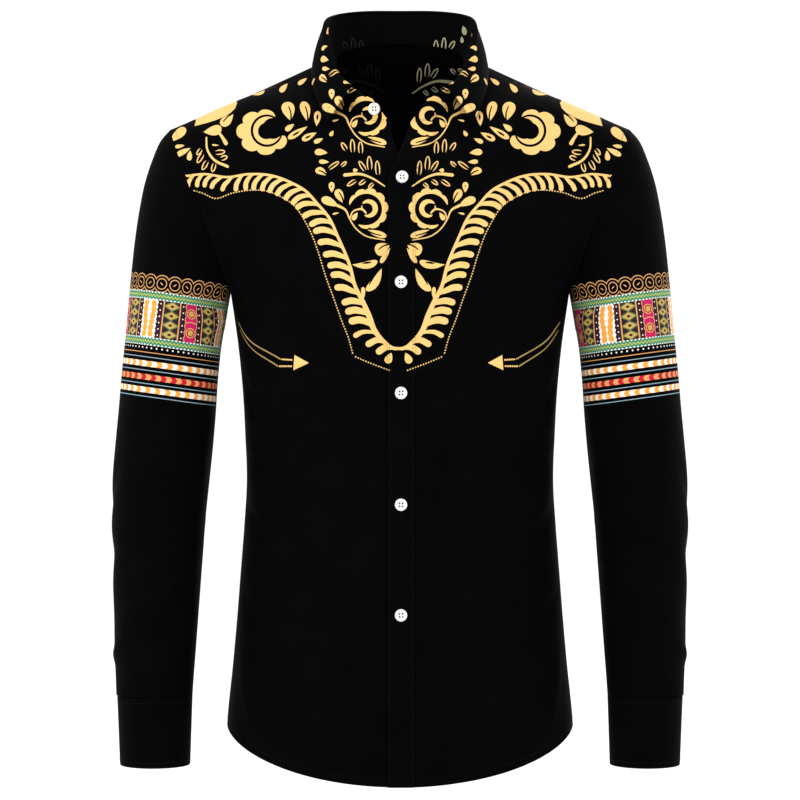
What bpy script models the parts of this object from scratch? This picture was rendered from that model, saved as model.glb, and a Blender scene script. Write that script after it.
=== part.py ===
# Long-sleeved, button-front dashiki shirt, worn form with no wearer: open cloth
# shells for fronts, back, sleeves and cuffs, a stand collar with a turned-down
# leaf, a front placket band and four-hole buttons.
#
# Frame: metres, +Z up, the front faces -Y, the wearer's left side is at +X.
# The origin is the middle of the neck at the height where the shoulder seams
# reach the collar; the wearer's shoulders hold the shirt there.
# Lengths below are millimetres until a mesh is made.

import math

import bmesh
import bpy
import numpy as np
from mathutils import Vector

MM = 0.001

# Cloth and seams
CLOTH = 1.5                 # wall of one worn cloth layer
COLLAR_CLOTH = 2.0          # two layers and their stiffening
CUFF_CLOTH = 2.0
BAND_CLOTH = 1.2            # folded strip lying on a panel
SEAM = 0.3                  # space left between two pieces at a seam

# Body sections: each is a flat-sided oval about the side seams (y = 0)
SECTION_POWER = 2.35
ARMPIT_Z = -227.0
HALF_WIDTH = ((-720, 174.0), (-655, 172.5), (-594, 166.5), (-549, 162.5), (-504, 159.0),
              (-459, 155.5), (-414, 153.0), (-369, 154.5), (-324, 157.0), (-279, 161.5),
              (ARMPIT_Z, 169.0), (-180, 176.0))

# Depth of the centre front and of the centre back from the side seams, by height
FRONT_DEPTH = ((-720, 113), (-655, 112), (-594, 109), (-549, 106), (-504, 104), (-459, 102),
               (-414, 102), (-369, 104), (-324, 108), (-279, 112), (-227, 115), (-190, 115),
               (-150, 111), (-120, 106), (-98, 98), (-80, 88), (-64, 78))
BACK_DEPTH = ((-720, 112), (-655, 111), (-594, 107), (-549, 102), (-504, 97), (-459, 93),
              (-414, 92), (-369, 93), (-324, 97), (-279, 102), (-227, 108), (-190, 111),
              (-150, 111), (-110, 106), (-70, 96), (-40, 82), (-10, 64), (26, 42))

# Curved shirt-tail hem
HEM_SIDE_Z = -655.0
HEM_FRONT_Z = -707.0
HEM_BACK_Z = -716.0
HEM_POWER = 0.65

# Neck seam on one side: share of the way from front to centre back, x, y, z
NECK_SEAM = (
    (0.00, 10.0, -77, -64),
    (0.16, 30.0, -72, -60),
    (0.32, 47.5, -56, -47),
    (0.46, 59.0, -32, -24),
    (0.62, 64.5, 0, 5),
    (0.78, 53.0, 26, 18),
    (0.90, 29.0, 38, 24),
    (1.00, 0.0, 42, 26),
)
NECK_POINT = 0.62           # where the shoulder seam meets the neck seam

# Armhole: an oval in a plane that leans out from the armpit to the shoulder tip
ARMHOLE_BOTTOM = (169.0, -227.0)
ARMHOLE_TOP = (229.0, -64.0)
ARMHOLE_FRONT = 62.0
ARMHOLE_BACK = 58.0
ARMHOLE_POWER = 2.15
SHOULDER_ROUND = (23.0, 2.0)   # rise of front and back over a rounded shoulder
RIM_BLEND = (0.3, 0.65)     # share of its height where body and sleeve rims turn parallel

# Front closure
CLOSURE_X = 1.0             # line of the buttons
OVERLAP = 13.0              # cloth past that line on each front
EDGE_HEIGHTS = (-720, -125, -112, -98, -80, -64)
FRONT_EDGES = {             # free edge of each front at those heights, from the centre
    "left": (-12.0, -12.0, -9.0, -2.0, 5.0, 10.0),
    "right": (-14.0, -14.0, -7.0, 1.5, 6.5, 10.0),
}

# Sleeve rings from the armhole to the cuff seam. Outer and inner are the two
# sides of the sleeve seen from the front.
# Columns: outer x, outer z, inner x, inner z, centre y, half depth
SLEEVE = (
    (229.0, -64, 169.0, -227, -2, 60.0),
    (238.0, -74, 169.9, -231, -2, 61.0),
    (247.0, -94, 170.6, -235, -2, 62.5),
    (254.5, -117, 171.4, -240, -2, 63.5),
    (260.0, -144, 172.3, -245, -2, 64.0),
    (264.5, -174, 173.3, -251, -2, 64.5),
    (268.0, -206, 174.5, -257, -2, 65.0),
    (271.0, -238, 176.2, -266, -2, 65.0),
    (274.0, -269, 179.0, -284, -2, 64.5),
    (277.2, -302, 181.8, -313, -3, 63.0),
    (280.5, -342, 184.2, -350, -4, 61.0),
    (283.5, -374, 186.7, -380, -5, 59.0),
    (286.4, -409, 190.1, -414, -6, 57.0),
    (287.2, -443, 193.5, -447, -8, 55.5),
    (287.5, -478, 195.8, -480, -11, 53.5),
    (285.7, -513, 198.1, -514, -15, 51.0),
    (283.8, -547, 200.3, -547, -19, 48.0),
    (282.9, -580, 202.4, -580, -24, 44.5),
    (281.5, -606, 204.2, -606, -28, 41.5),
    (280.7, -625, 205.4, -625, -30, 40.0),
)
SLEEVE_POWER = 2.1
CUFF_DROP = (625.3, 694.0)  # top and bottom of the cuff below the origin
CUFF_OUTER = (279.5, 276.4)
CUFF_INNER = (205.4, 207.5)
CUFF_CENTRE_Y = (-30.0, -33.0)
CUFF_HALF_DEPTH = (40.0, 39.5)
CUFF_LAP_ANGLE = 238.0      # where the cuff's outer end lies, from the underarm by the front
CUFF_LAP = 34.0             # degrees of overlap
CUFF_LAP_RAMP = 26.0        # degrees over which the upper end rises clear of the lower
CUFF_BUTTON_INSET = 9.0     # degrees from the upper end to the button
CUFF_STEPS = 30

# Collar stand: share from front to centre back, x, y, z of its top edge
STAND_TOP = (
    (0.00, 28.0, -76, -41),
    (0.16, 44.0, -68, -31),
    (0.32, 60.5, -51, -15),
    (0.46, 69.5, -30, 8),
    (0.62, 73.0, 3, 39),
    (0.78, 62.0, 30, 52),
    (0.90, 33.0, 44, 57),
    (1.00, 0.0, 50, 58),
)
# Collar leaf: the share where it starts, and its lower edge
LEAF_START = 0.14
LEAF_EDGE = (
    (0.14, 69.0, -89, -68),
    (0.32, 79.0, -66, -47),
    (0.46, 86.5, -36, -25),
    (0.62, 87.5, 4, 1),
    (0.70, 83.0, 23, 8),
    (0.78, 72.0, 41, 12),
    (0.90, 39.0, 56, 15),
    (1.00, 0.0, 61, 15),
)
LEAF_ROLL = 3.4             # outer radius where the leaf turns over the stand
LEAF_GAP = 0.8              # between the stand's top and the leaf
LEAF_SWELL = 2.0            # how far the fall of the leaf rounds outwards
STAND_LEVELS = (0.0, 0.35, 0.7, 1.0)

# Buttons
BUTTON_RADIUS = 5.9
BUTTON_HEIGHT = 2.4
BUTTON_RIM = 1.3
BUTTON_WELL = 0.6
BUTTON_HOLE = 0.8
BUTTON_HOLE_SPREAD = 1.55
BUTTON_SIDES = 16
BUTTON_BEVEL = 0.5          # slopes of its profile, at well, rim and underside
FRONT_BUTTON_SEAT = 0.1     # more than the seam's gap, over a curved band
COLLAR_BUTTON_SEAT = 0.9
CUFF_BUTTON_SEAT = 0.3
FRONT_BUTTON_Z = (-119.5, -220.5, -327.0, -435.0, -541.5)

# Mesh counts
ARM_STEPS = 14              # steps along half an armhole, and rows above the armpit
FRONT_NECK_STEPS = 7
BACK_NECK_STEPS = 4
BODY_STEPS = 16             # rows from hem to armpit
PANEL_STEPS = 9             # columns from the placket or centre back to the side
ROLL_STEPS = 4
FALL_STEPS = 3

# Largest folds. Columns: girth and height of one end, of the other end, width, rise
FRONT_FOLDS = (
    (120, -250, 40, -330, 26, -4.5),
    (150, -285, 70, -365, 24, 3.5),
    (175, -380, 95, -430, 26, -4.0),
    (150, -455, 60, -470, 28, 3.5),
    (185, -500, 110, -590, 28, -4.5),
    (90, -540, 70, -660, 30, 4.0),
    (150, -600, 140, -690, 24, 3.5),
)
BACK_FOLDS = (
    (150, -250, 60, -345, 26, -4.5),
    (160, -330, 80, -400, 24, 3.5),
    (165, -410, 60, -440, 26, -4.5),
    (140, -475, 40, -500, 26, 4.0),
    (170, -540, 120, -650, 28, -4.0),
    (60, -560, 55, -700, 32, 4.5),
)
# Folds fade out towards the closure, the chest and the sleeve's two seams
FOLD_TOP_Z = -150.0
FOLD_FADE = 60.0
CLOSURE_FADE = 40.0
CENTRE_BACK_FADE = 30.0
SLEEVE_FADE = 52.0
SLEEVE_RADIUS = 52.0        # turns the angles below into lengths round the sleeve

# Columns: angle from the underarm by the front and drop along the sleeve of one
# end, of the other end, width, rise
SLEEVE_FOLDS = (
    (20, 40, 95, 95, 16, -4.0),
    (300, 60, 250, 130, 18, -4.0),
    (60, 190, 130, 230, 16, -3.5),
    (20, 245, 110, 262, 15, 4.0),
    (40, 275, 120, 300, 15, -4.5),
    (330, 250, 240, 285, 16, -4.0),
    (320, 300, 230, 325, 15, 3.5),
    (150, 330, 220, 380, 16, -3.0),
    (60, 385, 150, 420, 15, 3.0),
    (300, 390, 210, 430, 16, -3.5),
)

COLOURS = {
    "cloth": (0.0035, 0.0035, 0.0040, 1.0),
    "button": (0.86, 0.86, 0.84, 1.0),
}


def at(rows, place):
    """Values of a table at a place: a smooth curve through its rows."""
    data = np.array(rows, float)
    places, values = data[:, 0], data[:, 1:]
    slopes = np.gradient(values, places, axis=0)
    i = int(np.clip(np.searchsorted(places, place) - 1, 0, len(places) - 2))
    span = places[i + 1] - places[i]
    t = float(np.clip((place - places[i]) / span, 0.0, 1.0))
    start = values[i] * (1 + 2 * t) * (1 - t) ** 2 + values[i + 1] * t * t * (3 - 2 * t)
    return start + span * t * (1 - t) * (slopes[i] * (1 - t) - slopes[i + 1] * t)


def ease(value):
    value = np.clip(value, 0.0, 1.0)
    return value * value * (3 - 2 * value)


def unit(vectors):
    return vectors / np.maximum(np.linalg.norm(vectors, axis=-1, keepdims=True), 1e-9)


def spaced(points, count):
    """The same line with count + 1 points at equal distances."""
    points = np.array(points, float)
    run = np.concatenate([[0.0], np.cumsum(np.linalg.norm(np.diff(points, axis=0), axis=1))])
    steps = np.linspace(0.0, run[-1], count + 1)
    return np.stack([np.interp(steps, run, points[:, k]) for k in range(3)], axis=1)


def armhole(turn, side):
    """Point of the armhole seam: turn 0 at the armpit, 1 at the shoulder tip."""
    angle = math.pi * turn
    rise = (1 - math.cos(angle)) / 2
    depth = ARMHOLE_FRONT if side < 0 else ARMHOLE_BACK
    x = ARMHOLE_BOTTOM[0] + (ARMHOLE_TOP[0] - ARMHOLE_BOTTOM[0]) * rise
    z = ARMHOLE_BOTTOM[1] + (ARMHOLE_TOP[1] - ARMHOLE_BOTTOM[1]) * rise
    return np.array([x, side * depth * max(math.sin(angle), 0.0) ** (2 / ARMHOLE_POWER), z])


def section_row(start_x, inner, outer, lift, steps):
    """One row of a panel: |y| to the section power runs evenly in x to that power."""
    power = SECTION_POWER
    inner_x, inner_y, inner_z = inner
    outer_x, outer_y, outer_z = outer
    side = math.copysign(1.0, inner_y)
    swing = np.linspace(0.0, math.pi / 2, 80)
    x = start_x + (outer_x - start_x) * np.sin(swing)
    share = (np.abs(x) ** power - inner_x ** power) / (outer_x ** power - inner_x ** power)
    depth = abs(inner_y) ** power + (abs(outer_y) ** power - abs(inner_y) ** power) * share
    level_x = max(inner_x, CLOSURE_X + OVERLAP)
    across = np.clip((x - level_x) / (outer_x - level_x), 0.0, 1.0)
    z = inner_z + (outer_z - inner_z) * across + lift * np.sin(math.pi * across) ** 1.4
    line = np.stack([x, side * np.maximum(depth, 0.0) ** (1 / power), z], axis=1)
    return spaced(line, steps)


def shoulder_lift(turn, side):
    rise = SHOULDER_ROUND[0] if side < 0 else SHOULDER_ROUND[1]
    return rise * math.sin(math.pi * max((turn - 0.1) / 0.9, 0.0) ** 1.4)


def body_row(height_share, start_x, side, hem_z, steps):
    """One row below the armpit; share 0 is the hem and 1 the armpit."""
    depths = FRONT_DEPTH if side < 0 else BACK_DEPTH
    start = start_x / at(HALF_WIDTH, ARMPIT_Z)[0]
    share = start + (1 - start) * np.sin(np.linspace(0.0, math.pi / 2, 80))
    line = []
    for reach in share:
        hem = HEM_SIDE_Z + (hem_z - HEM_SIDE_Z) * (1 - min(reach * reach, 1.0)) ** HEM_POWER
        z = hem + (ARMPIT_Z - hem) * height_share
        round_off = max(1 - abs(reach) ** SECTION_POWER, 0.0) ** (1 / SECTION_POWER)
        line.append((reach * at(HALF_WIDTH, z)[0], side * at(depths, z)[0] * round_off, z))
    return spaced(line, steps)


def front_grid(label, steps):
    """Outer face of one front, for the side at +X: rows from hem to shoulder."""
    grid = []
    edges = FRONT_EDGES[label]
    for k in range(BODY_STEPS):
        line = body_row(k / BODY_STEPS, edges[0], -1, HEM_FRONT_Z, 200)
        grid.append(strip_and_panel(line, edges[0], steps))
    centre_steps = ARM_STEPS - FRONT_NECK_STEPS
    for step in range(ARM_STEPS + 1):
        turn = step / ARM_STEPS
        outer = armhole(turn, -1)
        if step <= centre_steps:
            z = ARMPIT_Z + (NECK_SEAM[0][3] - ARMPIT_Z) * step / centre_steps
            inner = (0.0, -at(FRONT_DEPTH, z)[0], z)
            edge = np.interp(z, EDGE_HEIGHTS, edges)
        else:
            share = NECK_POINT * (step - centre_steps) / FRONT_NECK_STEPS
            inner = tuple(at(NECK_SEAM, share))
            edge = inner[0]
        if step == ARM_STEPS:
            grid.append(shoulder_line(steps + 2, -SEAM / 2))
            continue
        line = section_row(edge, inner, outer, shoulder_lift(turn, -1), 200)
        grid.append(strip_and_panel(line, edge, steps))
    return np.array(grid)


def strip_and_panel(line, edge, steps):
    """Two columns over the placket strip, then even columns to the side."""
    x = line[:, 0]
    stitch = edge + 2 * OVERLAP
    columns = [edge, (edge + stitch) / 2, stitch]
    head = [[np.interp(c, x, line[:, k]) for k in range(3)] for c in columns]
    rest = line[x > stitch + 1e-6]
    tail = spaced(np.vstack([head[-1], rest]), steps)
    return np.vstack([head[:2], tail])


def shoulder_line(steps, y):
    """The shoulder seam from the neck to the shoulder tip."""
    start = at(NECK_SEAM, NECK_POINT)
    share = np.linspace(0.0, 1.0, steps + 1)
    x = start[0] + (ARMHOLE_TOP[0] - start[0]) * share
    z = start[2] + (ARMHOLE_TOP[1] - start[2]) * share
    return np.stack([x, np.full_like(x, y), z], axis=1)


def back_grid(steps):
    """Outer face of one half of the back, from hem to shoulder."""
    grid = [body_row(k / BODY_STEPS, 0.0, 1, HEM_BACK_Z, steps) for k in range(BODY_STEPS)]
    centre_steps = ARM_STEPS - BACK_NECK_STEPS
    neck_top = NECK_SEAM[-1][3]
    for step in range(ARM_STEPS):
        turn = step / ARM_STEPS
        if step <= centre_steps:
            z = ARMPIT_Z + (neck_top - ARMPIT_Z) * step / centre_steps
            inner = (0.0, at(BACK_DEPTH, z)[0], z)
        else:
            share = 1 - (1 - NECK_POINT) * (step - centre_steps) / BACK_NECK_STEPS
            inner = tuple(at(NECK_SEAM, share))
        lift = shoulder_lift(turn, 1)
        grid.append(section_row(inner[0], inner, armhole(turn, 1), lift, steps))
    grid.append(shoulder_line(steps, SEAM / 2))
    return np.array(grid)


def relief(u, v, folds):
    """Soft ridges and troughs along short lines on the cloth."""
    height = np.zeros_like(u)
    for u0, v0, u1, v1, width, rise in folds:
        run_u, run_v = u1 - u0, v1 - v0
        length = math.hypot(run_u, run_v)
        along = ((u - u0) * run_u + (v - v0) * run_v) / length ** 2
        across = ((u - u0) * run_v - (v - v0) * run_u) / length
        height += rise * np.exp(-(across / width) ** 2) * np.exp(-(2.2 * (along - 0.5)) ** 4)
    return height


def normals_of(grid, closed):
    """Unit normals of a grid of points, by the steps to its neighbours."""
    if closed:
        across = np.roll(grid, -1, axis=1) - np.roll(grid, 1, axis=1)
    else:
        across = np.gradient(grid, axis=1)
    up = np.gradient(grid, axis=0)
    return unit(np.cross(across, up))


def girth(grid):
    steps = np.linalg.norm(np.diff(grid, axis=1), axis=2)
    return np.concatenate([np.zeros((len(grid), 1)), np.cumsum(steps, axis=1)], axis=1)


def add_wall(mesh, outer, inner, closed=False, joined_rows=0):
    """Faces of a wall between two matching grids of points.

    The first column has no edge faces over joined_rows, where another wall joins it.
    """
    rows, columns = outer.shape[:2]
    made = []
    for grid in (outer, inner):
        made.append([[mesh.verts.new(point * MM) for point in row] for row in grid])
    last = columns if closed else columns - 1
    for layer in made:
        for i in range(rows - 1):
            for j in range(last):
                k = (j + 1) % columns
                mesh.faces.new((layer[i][j], layer[i][k], layer[i + 1][k], layer[i + 1][j]))
    front, back = made
    for i in (0, rows - 1):
        for j in range(last):
            k = (j + 1) % columns
            mesh.faces.new((front[i][j], front[i][k], back[i][k], back[i][j]))
    if closed:
        return
    for j, start in ((0, joined_rows), (columns - 1, 0)):
        for i in range(start, rows - 1):
            mesh.faces.new((front[i][j], front[i + 1][j], back[i + 1][j], back[i][j]))


def finish_mesh(name, mesh):
    """Turn the faces outwards and hand the mesh over."""
    bmesh.ops.recalc_face_normals(mesh, faces=mesh.faces)
    bmesh.ops.triangulate(mesh, faces=mesh.faces, quad_method="FIXED")
    data = bpy.data.meshes.new(name)
    mesh.to_mesh(data)
    mesh.free()
    return data


def wall_mesh(name, outer, inner, closed=False):
    """A closed body between two matching grids of points."""
    mesh = bmesh.new()
    add_wall(mesh, outer, inner, closed)
    return finish_mesh(name, mesh)


def add_piece(name, data, material):
    data.materials.append(material)
    piece = bpy.data.objects.new(name, data)
    bpy.data.collections["shirt"].objects.link(piece)
    return piece


def flip(grid):
    """The same grid on the other side of the body."""
    return grid * np.array([-1.0, 1.0, 1.0])


def panel_normals(grid):
    """Normals of a front or back half, square to the side and shoulder seams."""
    side = math.copysign(1.0, grid[0, 0, 1])
    normals = normals_of(grid, False) * -side
    below = slice(0, BODY_STEPS + 1)
    normals[below, -1] = (1.0, 0.0, 0.0)
    start = at(NECK_SEAM, NECK_POINT)
    slope = np.array([start[2] - ARMHOLE_TOP[1], 0.0, ARMHOLE_TOP[0] - start[0]])
    normals[-1, :] = unit(slope)
    return normals


def sleeve_grid():
    """Outer face of the sleeve: rings from the armhole to the cuff seam."""
    reach = ARMHOLE_TOP[0] - ARMHOLE_BOTTOM[0]
    rise = ARMHOLE_TOP[1] - ARMHOLE_BOTTOM[1]
    leave = unit(np.array([rise, 0.0, -reach])) * SEAM
    grid = []
    for index, row in enumerate(SLEEVE):
        outer_x, outer_z, inner_x, inner_z, centre_y, half_depth = row
        ring = []
        for step in range(2 * ARM_STEPS):
            angle = math.pi * step / ARM_STEPS
            if index == 0:
                turn = step / ARM_STEPS if step <= ARM_STEPS else 2 - step / ARM_STEPS
                ring.append(armhole(turn, -1 if step <= ARM_STEPS else 1) + leave)
                continue
            rise = (1 - math.cos(angle)) / 2
            swing = math.copysign(abs(math.sin(angle)) ** (2 / SLEEVE_POWER), math.sin(angle))
            ring.append((inner_x + (outer_x - inner_x) * rise,
                         centre_y - half_depth * swing,
                         inner_z + (outer_z - inner_z) * rise))
        grid.append(ring)
    return np.array(grid, float)


def around(angle):
    """Length round the sleeve for an angle in degrees."""
    return math.radians(angle) * SLEEVE_RADIUS


def sleeve_places(grid):
    """Length round the sleeve and drop along its middle, at each point."""
    middle = grid.mean(axis=1)
    drop = np.concatenate([[0.0], np.cumsum(np.linalg.norm(np.diff(middle, axis=0), axis=1))])
    turn = np.array([around(step * 360.0 / grid.shape[1]) for step in range(grid.shape[1])])
    return np.broadcast_to(turn, grid.shape[:2]), np.broadcast_to(drop[:, None], grid.shape[:2])


def sleeve_relief(grid):
    """Height of the sleeve's folds at each point."""
    turn, drop = sleeve_places(grid)
    folds = [(around(a), b, around(c), d, width, rise) for a, b, c, d, width, rise in SLEEVE_FOLDS]
    height = relief(turn, drop, folds)
    return height * ease(drop / SLEEVE_FADE) * ease((drop.max() - drop) / SLEEVE_FADE)


def folded(grid, normals, height, rows, columns):
    """Move points out by the folds, but leave the named edge rows and columns."""
    height = height.copy()
    for i in rows:
        height[i, :] = 0.0
    for j in columns:
        height[:, j] = 0.0
    return grid + normals * height[..., None]


def plain_material(name, colour, roughness):
    material = bpy.data.materials.new(name)
    material.use_nodes = True
    shader = material.node_tree.nodes["Principled BSDF"]
    shader.inputs["Base Color"].default_value = colour
    shader.inputs["Roughness"].default_value = roughness
    return material


def armhole_normals(panel_front, panel_back, sleeve):
    """Shared wall directions at the armhole, so that both rims stay side by side."""
    count = 2 * ARM_STEPS
    body = np.zeros((count, 3))
    for step in range(count):
        source = panel_front if step <= ARM_STEPS else panel_back
        row = BODY_STEPS + (step if step <= ARM_STEPS else count - step)
        body[step] = source[row, -1]
    height = np.array([min(step, count - step) / ARM_STEPS for step in range(count)])
    weight = ease((height - RIM_BLEND[0]) / (RIM_BLEND[1] - RIM_BLEND[0]))[:, None]
    shared = unit(body + sleeve)
    body_rim = unit(body * (1 - weight) + shared * weight)
    sleeve_rim = unit(sleeve * (1 - weight) + shared * weight)
    return body_rim, sleeve_rim


def build_body(cloth):
    """Fronts, back and both sleeves; returns the points that other pieces lie on."""
    carriers = {}
    back_half = back_grid(PANEL_STEPS + 2)
    back_normals = panel_normals(back_half)
    sleeve = sleeve_grid()
    sleeve_out = -normals_of(sleeve, True)
    sleeve_out[0, 0] = (-1.0, 0.0, 0.0)
    sleeve_out[-1, :, 2] = 0.0
    sleeve_out = unit(sleeve_out)
    fronts = {}
    for label in FRONT_EDGES:
        grid = front_grid(label, PANEL_STEPS)
        fronts[label] = (grid, panel_normals(grid))
    body_rim, sleeve_rim = armhole_normals(fronts["left"][1], back_normals, sleeve_out[0])
    sleeve_out[0] = sleeve_rim
    for step in range(1, ARM_STEPS + 1):
        for label in fronts:
            fronts[label][1][BODY_STEPS + step, -1] = body_rim[step]
        back_normals[BODY_STEPS + step, -1] = body_rim[2 * ARM_STEPS - step]

    for label, mirror in (("left", False), ("right", True)):
        grid, normals = fronts[label]
        if label == "left":
            grid = grid + normals * lap_lift(grid)[..., None]
        height = relief(girth(grid), grid[..., 2], FRONT_FOLDS)
        height *= ease((girth(grid) - 2 * OVERLAP) / CLOSURE_FADE)
        height *= ease((FOLD_TOP_Z - grid[..., 2]) / FOLD_FADE)
        grid = folded(grid, normals, height, (0, -1), (0, 1, 2, -1))
        grid[:BODY_STEPS + 1, -1, 1] = -SEAM / 2
        outer, inner = grid, grid - normals * CLOTH
        if label == "left":
            carriers["left_front"] = (grid, normals)
        if mirror:
            outer, inner = flip(outer), flip(inner)
        add_piece("front_" + label, wall_mesh("front_" + label, outer, inner), cloth)

    height = relief(girth(back_half), back_half[..., 2], BACK_FOLDS)
    height *= ease((FOLD_TOP_Z - back_half[..., 2]) / FOLD_FADE)
    height *= ease(girth(back_half) / CENTRE_BACK_FADE)
    back_half = folded(back_half, back_normals, height, (0, -1), (0, -1))
    back_half[:BODY_STEPS + 1, -1, 1] = SEAM / 2
    back_inner = back_half - back_normals * CLOTH
    centre_rows = BODY_STEPS + ARM_STEPS - BACK_NECK_STEPS + 1
    back_inner[:centre_rows, 0, 0] = 0.0
    build_back(back_half, back_inner, centre_rows, cloth)

    sleeve = sleeve + sleeve_out * sleeve_relief(sleeve)[..., None]
    sleeve_inner = sleeve - sleeve_out * CLOTH
    for label, mirror in (("left", False), ("right", True)):
        outer, inner = (flip(sleeve), flip(sleeve_inner)) if mirror else (sleeve, sleeve_inner)
        add_piece("sleeve_" + label, wall_mesh("sleeve_" + label, outer, inner, True), cloth)
    carriers["sleeve"] = (sleeve, sleeve_out)
    return carriers


def lap_lift(grid):
    """How far the left front lies outside the right one at the closure."""
    full = CLOTH + SEAM
    side_ways = 1 - ease((grid[..., 0] - CLOSURE_X - OVERLAP - 0.01) / 45.0)
    upward = 1 - ease((grid[..., 2] + 92.0) / 18.0)
    return full * side_ways * upward


def build_back(outer, inner, centre_rows, cloth):
    """The whole back: the half and its mirror, joined down the centre."""
    mesh = bmesh.new()
    for sign in (1.0, -1.0):
        turn = np.array([sign, 1.0, 1.0])
        add_wall(mesh, outer * turn, inner * turn, joined_rows=centre_rows - 1)
    bmesh.ops.remove_doubles(mesh, verts=mesh.verts, dist=0.01 * MM)
    add_piece("back", finish_mesh("back", mesh), cloth)


def build_strips(carriers, cloth):
    """The placket band on the left front and the slit strip on each sleeve."""
    grid, normals = carriers["left_front"]
    rows = BODY_STEPS + ARM_STEPS - FRONT_NECK_STEPS + 1
    under = grid[:rows, :3] + normals[:rows, :3] * SEAM
    over = under + normals[:rows, :3] * BAND_CLOTH
    add_piece("placket_band", wall_mesh("placket_band", over, under), cloth)
    sleeve, sleeve_out = carriers["sleeve"]
    first = int(round(2 * ARM_STEPS * CUFF_LAP_ANGLE / 360.0))
    part = (slice(-5, None), slice(first - 1, first + 2))
    under = sleeve[part] + sleeve_out[part] * SEAM
    over = under + sleeve_out[part] * BAND_CLOTH
    for label, mirror in (("left", False), ("right", True)):
        pair = (flip(over), flip(under)) if mirror else (over, under)
        add_piece("sleeve_strip_" + label, wall_mesh("sleeve_strip_" + label, *pair), cloth)


def cuff_point(angle, share, out):
    """Point of the cuff's outer face, moved out, and its outward direction."""
    outer_x = CUFF_OUTER[0] + (CUFF_OUTER[1] - CUFF_OUTER[0]) * share
    inner_x = CUFF_INNER[0] + (CUFF_INNER[1] - CUFF_INNER[0]) * share
    centre_y = CUFF_CENTRE_Y[0] + (CUFF_CENTRE_Y[1] - CUFF_CENTRE_Y[0]) * share
    half_depth = CUFF_HALF_DEPTH[0] + (CUFF_HALF_DEPTH[1] - CUFF_HALF_DEPTH[0]) * share
    z = -(CUFF_DROP[0] + (CUFF_DROP[1] - CUFF_DROP[0]) * share)
    half_width = (outer_x - inner_x) / 2
    swing = math.copysign(abs(math.sin(angle)) ** (2 / SLEEVE_POWER), math.sin(angle))
    out_way = unit(np.array([-math.cos(angle) / half_width, -math.sin(angle) / half_depth, 0.0]))
    point = np.array([inner_x + half_width * (1 - math.cos(angle)), centre_y - half_depth * swing, z])
    return point + out_way * out, out_way


def build_cuffs(cloth):
    """Each cuff is a band whose upper end laps over its start; returns the button's seat."""
    start = math.radians(CUFF_LAP_ANGLE - CUFF_LAP)
    whole = 2 * math.pi + math.radians(CUFF_LAP)
    ramp = math.radians(CUFF_LAP_RAMP)
    ramp_start = 2 * math.pi - 1.2 * ramp
    outer, inner = [], []
    for share in (0.0, 0.5, 1.0):
        outer_row, inner_row = [], []
        for step in range(CUFF_STEPS + 1):
            travel = whole * step / CUFF_STEPS
            lap = (CUFF_CLOTH + SEAM) * float(ease((travel - ramp_start) / ramp))
            point, out_way = cuff_point(start + travel, share, lap)
            outer_row.append(point)
            inner_row.append(point - out_way * CUFF_CLOTH)
        outer.append(outer_row)
        inner.append(inner_row)
    outer, inner = np.array(outer), np.array(inner)
    for label, mirror in (("left", False), ("right", True)):
        pair = (flip(outer), flip(inner)) if mirror else (outer, inner)
        add_piece("cuff_" + label, wall_mesh("cuff_" + label, *pair), cloth)
    angle = math.radians(CUFF_LAP_ANGLE - CUFF_BUTTON_INSET)
    return cuff_point(angle, 0.5, CUFF_CLOTH + SEAM)


def collar_shares():
    """Shares of the half collar, at the same places as the panels' neck edges."""
    front = [NECK_POINT * k / FRONT_NECK_STEPS for k in range(FRONT_NECK_STEPS)]
    back = [1 - (1 - NECK_POINT) * k / BACK_NECK_STEPS for k in range(BACK_NECK_STEPS, -1, -1)]
    return front + back


def whole_round(half):
    """Half rows from front to centre back, and their mirror back to the front."""
    other = flip(half[:, :-1])[:, ::-1]
    return np.concatenate([half, other], axis=1)


def build_collar(cloth):
    """The stand, and the leaf that turns over its top."""
    shares = collar_shares()
    seam = np.array([at(NECK_SEAM, s) for s in shares])
    top = np.array([at(STAND_TOP, s) for s in shares])
    rise = unit(top - seam)
    bottom = seam + rise * SEAM
    stand = np.array([bottom + (top - bottom) * level for level in STAND_LEVELS])
    stand_out = normals_of(whole_round(stand), False)
    stand = whole_round(stand)
    stand_inner = stand - stand_out * COLLAR_CLOTH
    add_piece("collar_stand", wall_mesh("collar_stand", stand, stand_inner), cloth)

    first = next(k for k, s in enumerate(shares) if s >= LEAF_START)
    leaf_shares = shares[first:]
    half_top = top[first:]
    up = rise[first:]
    out = stand_out[-1, first:len(shares)]
    out = unit(out - up * np.sum(out * up, axis=1, keepdims=True))
    edge = np.array([at(LEAF_EDGE, s) for s in leaf_shares])
    rows, ways = [], []
    centre = half_top + out * (LEAF_ROLL - COLLAR_CLOTH) + up * LEAF_GAP
    for step in range(ROLL_STEPS + 1):
        angle = math.pi * (1 - step / ROLL_STEPS)
        ways.append(out * math.cos(angle) + up * math.sin(angle))
        rows.append(centre + ways[-1] * LEAF_ROLL)
    last = rows[-1]
    for step in range(1, FALL_STEPS + 1):
        share = step / FALL_STEPS
        swell = out * LEAF_SWELL * math.sin(math.pi * share)
        rows.append(last + (edge - last) * share + swell)
    half = np.array(rows)
    half[:, -1, 0] = 0.0
    leaf = whole_round(half)
    leaf_out = -normals_of(leaf, False)
    leaf_out[:ROLL_STEPS] = whole_round(np.array(ways[:ROLL_STEPS]))
    leaf_inner = leaf - leaf_out * COLLAR_CLOTH
    add_piece("collar_leaf", wall_mesh("collar_leaf", leaf, leaf_inner), cloth)
    return stand, stand_out


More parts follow.
